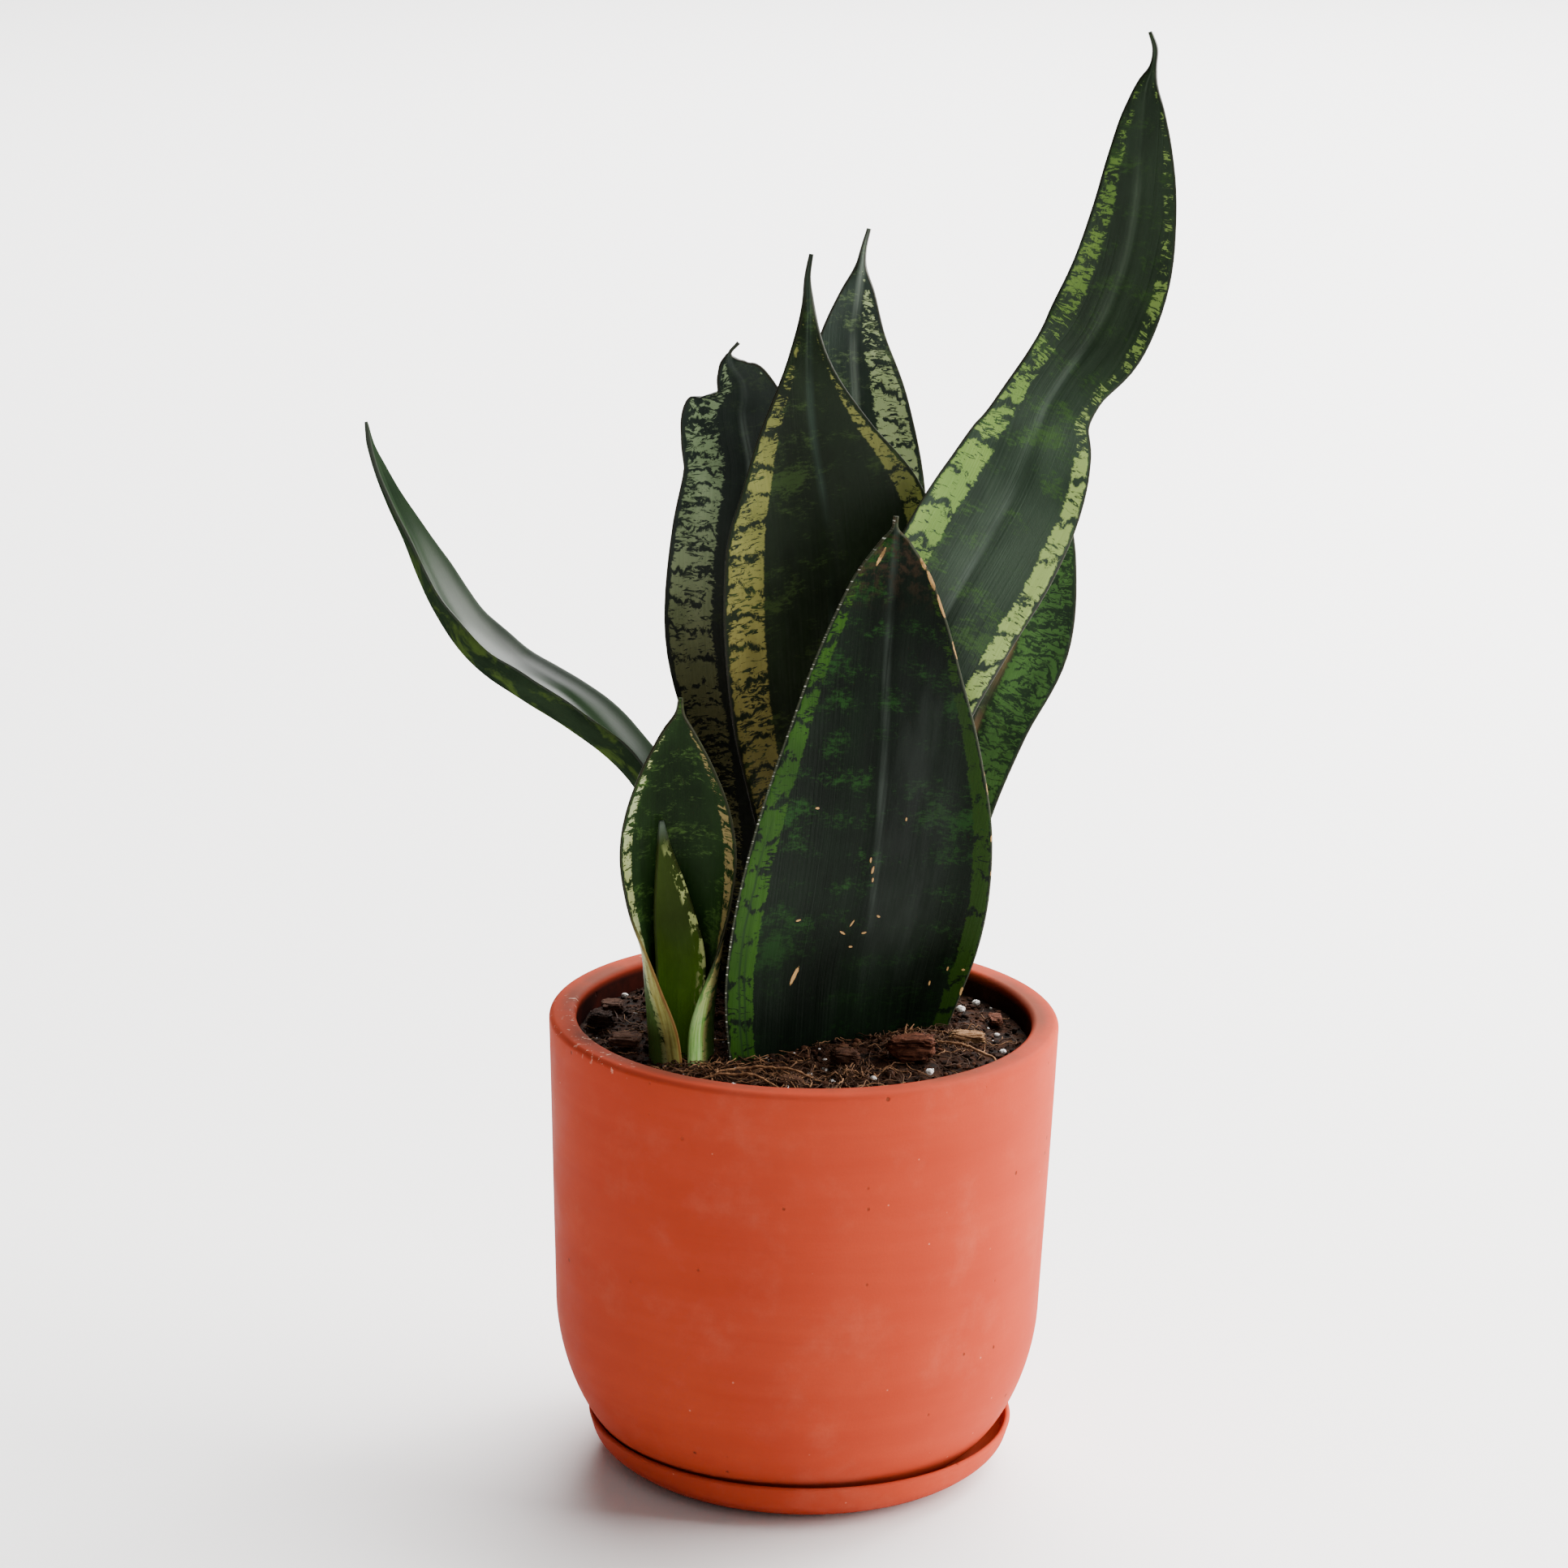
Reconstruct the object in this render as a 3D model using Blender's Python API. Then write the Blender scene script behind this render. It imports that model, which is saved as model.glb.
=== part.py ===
"""Potted snake plant: a clump of nine stiff upright leaves in a round
terracotta planter that stands in a low matching saucer.

Frame: metres, +Z up, the pot's axis is the Z axis and z = 0 is the flat
underside of the saucer.  The plant's front is toward -Y.
"""
import math
import random

import bmesh
import bpy
from mathutils import Vector

# ---------------------------------------------------------------- dimensions
MM = 0.001
GAP = 0.0004                # clear space between neighbouring pieces

# planter
POT_RIM_R = 0.0750          # outer radius at the rim
POT_RIM_Z = 0.1378          # height of the rim above the table
POT_SHOULDER_R = 0.0720     # outer radius where the side starts to turn in
POT_SHOULDER_Z = 0.0500
POT_FOOT_R = 0.0470         # radius of the flat foot
POT_FOOT_Z = 0.0054         # foot stands just clear of the saucer floor
POT_WALL = 0.0080           # side wall and floor thickness
RIM_ROUND = 0.0018          # rounding on both edges of the rim
DRAIN_R = 0.0080            # drain hole in the middle of the floor

# saucer
SAUCER_X = 0.0015           # the pot stands a little off the saucer's centre
SAUCER_FOOT_R = 0.0460
SAUCER_FLOOR_Z = 0.0050
SAUCER_LIP_R = 0.0634
SAUCER_LIP_Z = 0.0142
SAUCER_LIP_IN_R = 0.0617

# growing medium
SOIL_Z = 0.1305             # mean level, about 7 mm under the rim
SOIL_BOTTOM_Z = POT_FOOT_Z + POT_WALL + GAP

ROUND_SEGMENTS = 56

# Leaves: each row is a station on the leaf's middle line, from the buried
# end to the tip: x, y, z (mm), width round the curve (mm), the way its upper
# face looks (degrees from +X) and how far the blade curls round (degrees).
LEAVES = {
    "leaf_front": (5.0, (
        (7.8, -6, 112, 66, -56, 18), (8.4, -6, 130, 77, -56, 22),
        (10.0, -5, 152, 84, -60, 30), (13.8, -4, 174, 83.5, -64, 36),
        (16.7, -3, 196, 76.5, -68, 42), (18.5, -2, 217, 64, -72, 46),
        (19.8, -1, 239, 49, -76, 50), (21.4, -1, 260, 33, -80, 56),
        (22.3, -1, 274.5, 18.5, -82, 60), (22.6, -2, 281, 8, -84, 60),
        (22.6, -2, 283.5, 2.6, -84, 40), (22.8, -2, 287.5, 1.4, -84, 40))),
    "leaf_center": (5.0, (
        (14.6, 24, 110, 40, -62, 30), (14.2, 24, 130, 45, -64, 40),
        (13.3, 23, 160, 53, -66, 50), (11.0, 22, 193, 62, -70, 52),
        (7.5, 21, 225, 69, -74, 52), (5.0, 20, 257, 70, -76, 52),
        (2.3, 20, 286, 59.5, -78, 54), (-1.5, 20, 307, 36, -80, 56),
        (-3.4, 20, 328.5, 12.5, -82, 60), (-3.6, 21, 344, 3.6, -84, 60),
        (-3.9, 21, 352, 1.8, -84, 40), (-3.0, 21, 358.5, 1.2, -84, 40))),
    "leaf_right_tall": (4.6, (
        (22.2, 12, 112, 30, -58, 30), (21.4, 11.5, 132, 34, -60, 36),
        (20.4, 10.5, 164, 37, -66, 46), (21.2, 9.5, 197, 39, -72, 50),
        (26.0, 9.5, 228, 41, -78, 50), (36.5, 9.5, 255, 45, -84, 48),
        (49.0, 10, 279, 46, -90, 46), (56.6, 10, 294, 42.5, -93, 46),
        (61.8, 11, 307.5, 36, -94, 46), (64.8, 11, 317, 28.5, -95, 46),
        (69.4, 11, 325.5, 26.5, -96, 46), (78.2, 11, 338.5, 30.5, -98, 46),
        (84.4, 11, 354, 29.5, -98, 46), (88.0, 11, 373, 25, -98, 46),
        (89.2, 11, 390, 19, -98, 46), (89.6, 11, 402, 12.5, -98, 46),
        (90.2, 11, 410, 6.2, -98, 44), (91.5, 11, 415, 2.2, -98, 40),
        (91.8, 11, 420, 1.6, -98, 40), (90.2, 11, 424.6, 1.1, -98, 40))),
    "leaf_back_center": (4.2, (
        (11.0, 51, 112, 20, -92, 40), (11.0, 51.5, 130, 22, -92, 50),
        (11.4, 52.5, 166, 26, -92, 56), (12.6, 54, 206, 32, -92, 60),
        (13.6, 54.5, 246, 39, -92, 60), (13.4, 54, 280, 41, -92, 60),
        (11.4, 54, 309.5, 33, -92, 60), (10.0, 54, 329, 21, -92, 60),
        (11.1, 54, 343, 10.5, -92, 60), (11.8, 54, 351, 3, -92, 50),
        (12.4, 54, 355.5, 1.8, -92, 40), (13.8, 54, 361.4, 1.2, -92, 40))),
    "leaf_back_left": (4.4, (
        (-13.1, 38, 110, 24, -118, 40), (-13.3, 39, 129, 27, -118, 50),
        (-12.6, 42, 166, 31, -114, 60), (-15.8, 46, 206, 39.5, -110, 66),
        (-20.2, 50, 240, 48.5, -108, 70), (-20.2, 52, 269, 45.5, -104, 70),
        (-19.4, 53, 291, 41, -100, 70), (-21.6, 53, 302, 39, -98, 70),
        (-22.2, 53, 306.5, 37, -98, 74), (-21.8, 53, 311, 29, -98, 84),
        (-22.6, 53, 315.5, 20, -98, 90), (-25.0, 53, 319, 12, -98, 90),
        (-26.2, 53, 321.6, 6, -98, 70), (-26.4, 53, 323.2, 2, -98, 40),
        (-23.7, 53, 327, 1.1, -98, 40))),
    "leaf_right_back": (4.2, (
        (38.0, 38, 110, 18, -125, 40), (38.5, 39, 128, 20, -120, 46),
        (38.8, 42, 157, 23.5, -112, 54), (42.5, 46, 187, 27.5, -104, 58),
        (51.0, 51, 216, 32, -98, 60), (60.8, 55, 240, 35, -94, 60),
        (66.0, 57, 263, 26.5, -92, 60), (68.4, 58, 278, 16, -92, 50),
        (70.0, 58, 286.5, 7, -92, 50), (70.4, 58, 290, 2, -92, 40),
        (70.9, 58, 294.7, 1.2, -92, 40))),
    "leaf_left": (3.8, (
        (-37.0, 24, 110, 22, -20, 60), (-37.2, 24.5, 130, 24, -20, 66),
        (-37.6, 25.5, 152, 26.5, -18, 76), (-39.4, 27, 173, 29, -14, 90),
        (-45.0, 29, 189.5, 32, -8, 98), (-52.0, 31, 200, 36, -6, 100),
        (-60.4, 33, 207.8, 40, -6, 100), (-72.0, 35, 215.6, 43, -6, 100),
        (-84.2, 37, 222.4, 43.5, -6, 100), (-95.6, 39, 229.4, 42, -6, 100),
        (-104.4, 40.5, 237.8, 39, -6, 98), (-110.8, 42, 247.6, 33.5, -8, 94),
        (-115.8, 43, 258, 27, -10, 88), (-120.4, 44, 268.7, 19, -10, 80),
        (-125.2, 45, 278.6, 13, -12, 70), (-129.0, 46, 287.6, 8, -14, 60),
        (-131.6, 46.5, 295.5, 3.2, -14, 50), (-132.9, 47, 302, 1.1, -14, 40))),
    "leaf_small_outer": (2.6, (
        (-36.4, -15.8, 112, 44, -90, 300), (-36.4, -15.6, 131, 46.5, -90, 308),
        (-36.6, -14.8, 141, 47.5, -90, 300), (-36.4, -14.2, 152, 47, -90, 272),
        (-36.0, -13.8, 164, 44, -90, 222), (-36.6, -14.2, 178, 42, -90, 160),
        (-37.2, -15.2, 192, 40.5, -90, 122), (-37.4, -17.5, 206, 33.5, -90, 96),
        (-37.6, -20.5, 219, 21.5, -90, 80), (-37.6, -23, 229, 9.5, -90, 70),
        (-37.4, -24, 233.5, 3, -90, 50), (-37.2, -25, 238.5, 1.2, -90, 40))),
    "leaf_small_inner": (1.8, (
        (-36.6, -19.4, 114, 14, -84, 130), (-36.6, -19.4, 131, 15.5, -84, 140),
        (-36.4, -18.6, 146, 17, -84, 130), (-36.4, -18.2, 160, 16.4, -84, 104),
        (-38.2, -18.6, 172, 13.4, -84, 90), (-40.0, -19.4, 184, 8.6, -84, 80),
        (-41.4, -20, 193, 4.2, -84, 66), (-42.2, -20.4, 201, 1.2, -84, 40))),
}
LEAF_EDGE = 0.9             # thickness of a leaf's margin, mm

# Loose pieces on the soil: x, y (mm), size (mm), turn (degrees).
BARK_CHIPS = {
    "bark_chip_tan": (48, -6, (11.5, 6.0, 3.4), 8),
    "bark_chip_left_a": (-57, 20, (9.5, 5.5, 3.0), 70),
    "bark_chip_left_b": (-52, -14, (10.0, 6.5, 3.2), -50),
    "bark_chip_back": (-8, 60, (9.0, 5.0, 3.0), 10),
    "bark_chip_right": (57, 14, (8.5, 3.0, 2.6), 75),
    "bark_chip_front": (-4, -46, (8.0, 4.6, 2.4), -12),
}
BARK_LUMPS = {
    "bark_lump_red": (31, -26, (15.0, 11.0, 8.0), 20),
    "bark_lump_brown": (12, -30, (10.0, 8.0, 5.0), -35),
    "bark_lump_dark": (-60, 3, (8.0, 9.0, 5.0), 15),
}
PERLITE = {
    "perlite_a": (47, 24, 3.4), "perlite_b": (52, 33, 2.8),
    "perlite_c": (36, -40, 3.0), "perlite_d": (20, -42, 2.4),
    "perlite_e": (2, -37, 2.2), "perlite_f": (58, -16, 2.6),
    "perlite_g": (-54, 33, 2.6), "perlite_h": (-20, -50, 2.4),
}
FIBRES = {
    "coir_fibre_a": ((-27, -41), (-16, -38), (-4, -40), (6, -45)),
    "coir_fibre_b": ((-31, -46), (-22, -45), (-13, -48), (-6, -54)),
    "coir_fibre_c": ((36, -14), (45, -19), (54, -24), (57, -30)),
}


# ------------------------------------------------------------------- helpers
def clear_scene():
    for ob in list(bpy.data.objects):
        bpy.data.objects.remove(ob, do_unlink=True)


def material(name, colour, roughness, metallic=0.0):
    mat = bpy.data.materials.new(name)
    mat.use_nodes = True
    bsdf = mat.node_tree.nodes["Principled BSDF"]
    bsdf.inputs["Base Color"].default_value = (*colour, 1.0)
    bsdf.inputs["Roughness"].default_value = roughness
    bsdf.inputs["Metallic"].default_value = metallic
    mat.diffuse_color = (*colour, 1.0)
    return mat


def make_object(name, verts, faces, mat=None):
    mesh = bpy.data.meshes.new(name)
    mesh.from_pydata(verts, [], faces)
    bm = bmesh.new()
    bm.from_mesh(mesh)
    bmesh.ops.recalc_face_normals(bm, faces=bm.faces)
    bm.to_mesh(mesh)
    bm.free()
    if mat is not None:
        mesh.materials.append(mat)
    ob = bpy.data.objects.new(name, mesh)
    bpy.context.scene.collection.objects.link(ob)
    return ob


def revolve(name, profile, mat, centre_x=0.0, segments=ROUND_SEGMENTS):
    """Closed solid of revolution from a closed loop of (radius, z)."""
    verts, faces = [], []
    n = len(profile)
    for j in range(segments):
        a = 2 * math.pi * j / segments
        for r, z in profile:
            verts.append((centre_x + r * math.cos(a), r * math.sin(a), z))
    for j in range(segments):
        k = (j + 1) % segments
        for i in range(n):
            m = (i + 1) % n
            faces.append((j * n + i, k * n + i, k * n + m, j * n + m))
    return make_object(name, verts, faces, mat)


def arc(cx, cz, radius, start, end, steps):
    """Points on an arc, angles in degrees from the outward direction."""
    out = []
    for i in range(steps + 1):
        a = math.radians(start + (end - start) * i / steps)
        out.append((cx + radius * math.cos(a), cz + radius * math.sin(a)))
    return out


def smooth_route(rows, per_span):
    """Smooth curve through every row, with so many steps between two rows."""
    length = [0.0]
    for a, b in zip(rows, rows[1:]):
        length.append(length[-1] + math.dist(a[:3], b[:3]))
    slopes = []
    last = len(rows) - 1
    for i in range(len(rows)):
        lo, hi = max(i - 1, 0), min(i + 1, last)
        if 0 < i < last:
            h0, h1 = length[i] - length[lo], length[hi] - length[i]
            slopes.append([((p - q) / h0 * h1 + (s - p) / h1 * h0) / (h0 + h1)
                           for q, p, s in zip(rows[lo], rows[i], rows[hi])])
        else:
            h = length[hi] - length[lo]
            slopes.append([(s - q) / h for q, s in zip(rows[lo], rows[hi])])
    out = []
    for k in range(last):
        h = length[k + 1] - length[k]
        for j in range(per_span):
            t = j / per_span
            a = 2 * t ** 3 - 3 * t ** 2 + 1
            b = (t ** 3 - 2 * t ** 2 + t) * h
            c = 1 - a
            e = (t ** 3 - t ** 2) * h
            out.append([a * p + b * m0 + c * q + e * m1 for p, m0, q, m1
                        in zip(rows[k], slopes[k], rows[k + 1], slopes[k + 1])])
    out.append(list(rows[-1]))
    return out


# ---------------------------------------------------------------- the leaves
def leaf_mesh(rows, thick, across, grow=0.0, full=None):
    """Closed blade: a curled section carried along the leaf's middle line.

    The section is thickest in its middle and thins to a blunt margin; the
    upper face looks the way each station says.
    """
    stations = smooth_route(rows, 2)
    rings = len(stations)
    points = [Vector(s[:3]) * MM for s in stations]
    verts, faces = [], []
    for i, s in enumerate(stations):
        along = (points[min(i + 1, rings - 1)] - points[max(i - 1, 0)]).normalized()
        a = math.radians(s[4])
        face = Vector((math.cos(a), math.sin(a), 0.0))
        face = (face - face.dot(along) * along).normalized()
        side = face.cross(along)
        width = max(s[3], 1.0) * MM + 2 * grow
        curl = math.radians(max(s[5], 2.0))
        radius = width / curl
        taper = 1.0 - 0.5 * i / ((full or rings) - 1)
        mid = min(thick * taper * MM, 0.75 * width) + 2 * grow
        edge = min(LEAF_EDGE * MM, 0.6 * width) + 2 * grow
        ring_top, ring_low = [], []
        for j in range(across):
            u = -1 + 2 * j / (across - 1)
            phi = u * curl / 2
            centre = (points[i] + side * radius * math.sin(phi)
                      + face * radius * (1 - math.cos(phi)))
            out = face * math.cos(phi) - side * math.sin(phi)
            half = (edge + (mid - edge) * (1 - abs(u) ** 2.4)) / 2
            ring_top.append(centre + out * half)
            ring_low.append(centre - out * half)
        verts += [tuple(v) for v in ring_top + ring_low[::-1]]
    n = 2 * across
    for i in range(rings - 1):
        for j in range(n):
            k = (j + 1) % n
            faces.append((i * n + j, i * n + k, (i + 1) * n + k, (i + 1) * n + j))
    for base in (0, (rings - 1) * n):
        for j in range(across - 1):
            k = n - 1 - j
            faces.append((base + j, base + j + 1, base + k - 1, base + k))
    return verts, faces


# ------------------------------------------------------------------ the soil
def soil_height(x, y):
    """Uneven top of the soil: gentle heaps, higher in front of the leaves."""
    r = math.hypot(x, y)
    waves = (0.0007 * math.sin(95 * x + 1.3) * math.cos(80 * y)
             + 0.0004 * math.sin(210 * x - 160 * y))
    mound = 0.0018 * math.exp(-((x - 0.034) ** 2 + (y + 0.022) ** 2) / 0.00045)
    hollow = -0.0010 * max(0.0, (r - 0.050) / 0.017)
    return SOIL_Z + waves + mound + hollow


def pot_outer(z):
    """Outer radius of the planter at height z."""
    if z >= POT_SHOULDER_Z:
        t = (z - POT_SHOULDER_Z) / (POT_RIM_Z - POT_SHOULDER_Z)
        return POT_SHOULDER_R + (POT_RIM_R - POT_SHOULDER_R) * t
    t = (POT_SHOULDER_Z - z) / (POT_SHOULDER_Z - POT_FOOT_Z)
    round_in = max(0.0, 1 - t ** 1.75) ** (1 / 1.8)
    return POT_FOOT_R + (POT_SHOULDER_R - POT_FOOT_R) * round_in


def pot_inner(z):
    """Inner radius: the same shape, one wall thickness in."""
    floor = POT_FOOT_Z + POT_WALL
    scale = (POT_RIM_Z - POT_FOOT_Z) / (POT_RIM_Z - floor)
    return pot_outer(POT_RIM_Z - (POT_RIM_Z - z) * scale) - POT_WALL


def heights(low, high, steps):
    """Heights that crowd together near the lower end, where the side bends."""
    return [low + (high - low) * (i / steps) ** 1.7 for i in range(steps + 1)]


def inner_profile():
    """Inside of the planter from the floor up to the rim."""
    top = POT_RIM_Z - RIM_ROUND
    return [(pot_inner(z), z) for z in heights(POT_FOOT_Z + POT_WALL, top, 10)]


def build_pot(mat):
    floor = POT_FOOT_Z + POT_WALL
    top = POT_RIM_Z - RIM_ROUND
    outer = [(pot_outer(z), z) for z in heights(POT_FOOT_Z, top, 11)]
    rim_in = pot_inner(top)
    rim = arc(pot_outer(top) - RIM_ROUND, top, RIM_ROUND, 0, 90, 3)[1:]
    rim += arc(rim_in + RIM_ROUND, top, RIM_ROUND, 90, 180, 3)
    inner = inner_profile()[::-1][1:]
    loop = outer + rim + inner + [(DRAIN_R, floor), (DRAIN_R, POT_FOOT_Z)]
    return revolve("pot", loop, mat)


def curve(points):
    """Smooth line through a few (radius, z) points."""
    rows = [(r, 0.0, z) for r, z in points]
    return [(p[0], p[2]) for p in smooth_route(rows, 2)]


def build_saucer(mat):
    lip = (SAUCER_LIP_R - SAUCER_LIP_IN_R) / 2
    under = curve(((SAUCER_FOOT_R, 0.0), (0.0510, 0.0010), (0.0575, 0.0042),
                   (0.0615, 0.0080), (SAUCER_LIP_R, SAUCER_LIP_Z - lip)))
    round_top = arc(SAUCER_LIP_R - lip, SAUCER_LIP_Z - lip, lip, 0, 180, 5)[1:]
    inside = curve(((SAUCER_LIP_IN_R, SAUCER_LIP_Z - lip), (0.0603, 0.0105),
                    (0.0565, 0.0072), (0.0505, SAUCER_FLOOR_Z)))[1:]
    loop = [(0.0, 0.0)] + under + round_top + inside + [(0.0, SAUCER_FLOOR_Z)]
    verts, faces = [], []
    ring = loop[1:-1]
    n = len(ring)
    for j in range(ROUND_SEGMENTS):
        a = 2 * math.pi * j / ROUND_SEGMENTS
        verts += [(SAUCER_X + r * math.cos(a), r * math.sin(a), z) for r, z in ring]
    for j in range(ROUND_SEGMENTS):
        k = (j + 1) % ROUND_SEGMENTS
        faces += [(j * n + i, k * n + i, k * n + i + 1, j * n + i + 1)
                  for i in range(n - 1)]
    faces.append(tuple(j * n for j in range(ROUND_SEGMENTS)))
    faces.append(tuple(j * n + n - 1 for j in range(ROUND_SEGMENTS)))
    return make_object("saucer", verts, faces, mat)


def build_soil(mat):
    """Medium that fills the pot, with a pocket for every leaf's buried end."""
    rings, turns = 8, ROUND_SEGMENTS
    verts, faces = [], []
    edge_r = pot_inner(SOIL_Z) - 1.5 * GAP
    inside = inner_profile()
    wall = []
    for i, (r, z) in enumerate(inside):
        if z > SOIL_Z - 0.004:
            break
        (r0, z0), (r1, z1) = inside[max(i - 1, 0)], inside[i + 1]
        lean = math.atan2(z1 - z0, r1 - r0)
        wall.append((r - 1.5 * GAP * math.sin(lean),
                     max(z + 1.5 * GAP * math.cos(lean), SOIL_BOTTOM_Z)))
    wall[0] = (wall[0][0], SOIL_BOTTOM_Z)
    for i in range(1, rings + 1):
        r = edge_r * i / rings
        for j in range(turns):
            a = 2 * math.pi * j / turns
            x, y = r * math.cos(a), r * math.sin(a)
            verts.append((x, y, soil_height(x, y)))
    top_centre = len(verts)
    verts.append((0.0, 0.0, soil_height(0.0, 0.0)))
    for j in range(turns):
        k = (j + 1) % turns
        faces.append((top_centre, j, k))
        for i in range(rings - 1):
            faces.append((i * turns + j, (i + 1) * turns + j,
                          (i + 1) * turns + k, i * turns + k))
    side = len(verts)
    for r, z in wall[::-1]:
        for j in range(turns):
            a = 2 * math.pi * j / turns
            verts.append((r * math.cos(a), r * math.sin(a), z))
    rim = (rings - 1) * turns
    for j in range(turns):
        k = (j + 1) % turns
        faces.append((rim + j, side + j, side + k, rim + k))
        for i in range(len(wall) - 1):
            faces.append((side + i * turns + j, side + (i + 1) * turns + j,
                          side + (i + 1) * turns + k, side + i * turns + k))
    last = side + (len(wall) - 1) * turns
    faces.append(tuple(last + j for j in range(turns)))
    return make_object("soil", verts, faces, mat)


def cut(target, verts, faces, name):
    """Take one hidden cutting solid out of the target."""
    tool = make_object(name, verts, faces)
    tool.hide_render = True
    tool.display_type = "WIRE"
    mod = target.modifiers.new(name, "BOOLEAN")
    mod.operation = "DIFFERENCE"
    mod.solver = "EXACT"
    mod.object = tool
    bpy.context.view_layer.update()
    done = bpy.data.meshes.new_from_object(
        target.evaluated_get(bpy.context.evaluated_depsgraph_get()))
    target.modifiers.clear()
    old = target.data
    done.name = old.name
    target.data = done
    bpy.data.meshes.remove(old)
    spare = tool.data
    bpy.data.objects.remove(tool, do_unlink=True)
    bpy.data.meshes.remove(spare)


def cut_pockets(soil):
    for name, (thick, rows) in LEAVES.items():
        if name.startswith("leaf_small"):
            continue
        verts, faces = leaf_mesh(rows[:4], thick, 7, 0.0005, 2 * len(rows) - 1)
        for k in range(14):                     # deepen the pocket's floor
            x, y, z = verts[k]
            verts[k] = (x, y, z - 0.0006)
        cut(soil, verts, faces, "pocket_" + name)
    # the small shoot's leaves share one round pocket
    verts, faces = [], []
    turns, shoot = 28, LEAVES["leaf_small_outer"][1]
    for z in (shoot[0][2] - 0.6, 148.0):
        for j in range(turns):
            a = 2 * math.pi * j / turns
            verts.append(((-36.4 + 11.2 * math.cos(a)) * MM,
                          (-24.3 + 11.2 * math.sin(a)) * MM, z * MM))
    for j in range(turns):
        k = (j + 1) % turns
        faces.append((j, k, turns + k, turns + j))
    faces.append(tuple(range(turns)))
    faces.append(tuple(range(turns, 2 * turns)))
    cut(soil, verts, faces, "pocket_shoot")


# -------------------------------------------------------- loose bits on top
def resting_height(x, y, reach):
    """Highest soil under a loose piece, plus the clear gap."""
    top = 0.0
    for i in range(-4, 5):
        for j in range(-4, 5):
            top = max(top, soil_height(x + reach * i / 4, y + reach * j / 4))
    return top + 0.0005


def build_chip(name, x, y, size, turn, mat):
    """Split flake of bark: a flat rough block, thinner at one end."""
    rnd = random.Random(name)
    lx, ly, lz = (s * MM for s in size)
    z0 = resting_height(x * MM, y * MM, max(lx, ly) / 2)
    a = math.radians(turn)
    verts = []
    nx, ny = 5, 3
    for layer in (0, 1):
        for i in range(nx):
            for j in range(ny):
                u, v = -0.5 + i / (nx - 1), -0.5 + j / (ny - 1)
                px = u * lx * (1 - 0.15 * abs(2 * v)) + rnd.uniform(-1, 1) * lx * 0.03
                py = v * ly * (1 - 0.25 * abs(2 * u) ** 2) + rnd.uniform(-1, 1) * ly * 0.05
                pz = 0.0 if layer == 0 else lz * (0.72 - 0.35 * u + rnd.uniform(-0.12, 0.12))
                verts.append((x * MM + px * math.cos(a) - py * math.sin(a),
                              y * MM + px * math.sin(a) + py * math.cos(a), z0 + pz))
    faces = []
    top = nx * ny
    for i in range(nx - 1):
        for j in range(ny - 1):
            q = i * ny + j
            faces.append((q, q + 1, q + ny + 1, q + ny))
            faces.append((top + q, top + q + ny, top + q + ny + 1, top + q + 1))
    border = ([i * ny for i in range(nx)] + [(nx - 1) * ny + j for j in range(1, ny)]
              + [i * ny + ny - 1 for i in range(nx - 2, -1, -1)]
              + [j for j in range(ny - 2, 0, -1)])
    for p, q in zip(border, border[1:] + border[:1]):
        faces.append((p, q, top + q, top + p))
    return make_object(name, verts, faces, mat)


def build_lump(name, x, y, size, turn, mat, detail=2):
    """Rounded crumbly lump."""
    rnd = random.Random(name)
    bm = bmesh.new()
    bmesh.ops.create_icosphere(bm, subdivisions=detail, radius=0.5)
    a = math.radians(turn)
    for v in bm.verts:
        k = 1 + rnd.uniform(-0.10, 0.04)
        px, py, pz = (c * k * s * MM for c, s in zip(v.co, size))
        pz = max(pz, -0.32 * size[2] * MM)
        v.co = (px * math.cos(a) - py * math.sin(a),
                px * math.sin(a) + py * math.cos(a), pz)
    low = min(v.co.z for v in bm.verts)
    lift = resting_height(x * MM, y * MM, max(size[:2]) * MM / 2) - low
    for v in bm.verts:
        v.co += Vector((x * MM, y * MM, lift))
    mesh = bpy.data.meshes.new(name)
    bmesh.ops.recalc_face_normals(bm, faces=bm.faces)
    bm.to_mesh(mesh)
    bm.free()
    mesh.materials.append(mat)
    ob = bpy.data.objects.new(name, mesh)
    bpy.context.scene.collection.objects.link(ob)
    return ob


def build_fibre(name, route, mat):
    """Thin stiff strand of coir lying over the soil."""
    radius, sides = 0.00045, 6
    rows = [(x, y, 0.0) for x, y in route]
    path = [Vector(p) * MM for p in smooth_route(rows, 3)]
    for i, p in enumerate(path):
        lift = 0.0012 * math.sin(math.pi * i / (len(path) - 1))
        p.z = resting_height(p.x, p.y, 0.002) + radius + lift
    verts, faces = [], []
    for i, p in enumerate(path):
        along = (path[min(i + 1, len(path) - 1)] - path[max(i - 1, 0)]).normalized()
        side = along.cross(Vector((0, 0, 1))).normalized()
        up = side.cross(along)
        for j in range(sides):
            a = 2 * math.pi * j / sides
            verts.append(tuple(p + (side * math.cos(a) + up * math.sin(a)) * radius))
    for i in range(len(path) - 1):
        for j in range(sides):
            k = (j + 1) % sides
            faces.append((i * sides + j, i * sides + k,
                          (i + 1) * sides + k, (i + 1) * sides + j))
    faces.append(tuple(range(sides)))
    faces.append(tuple((len(path) - 1) * sides + j for j in range(sides)))
    return make_object(name, verts, faces, mat)


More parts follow.
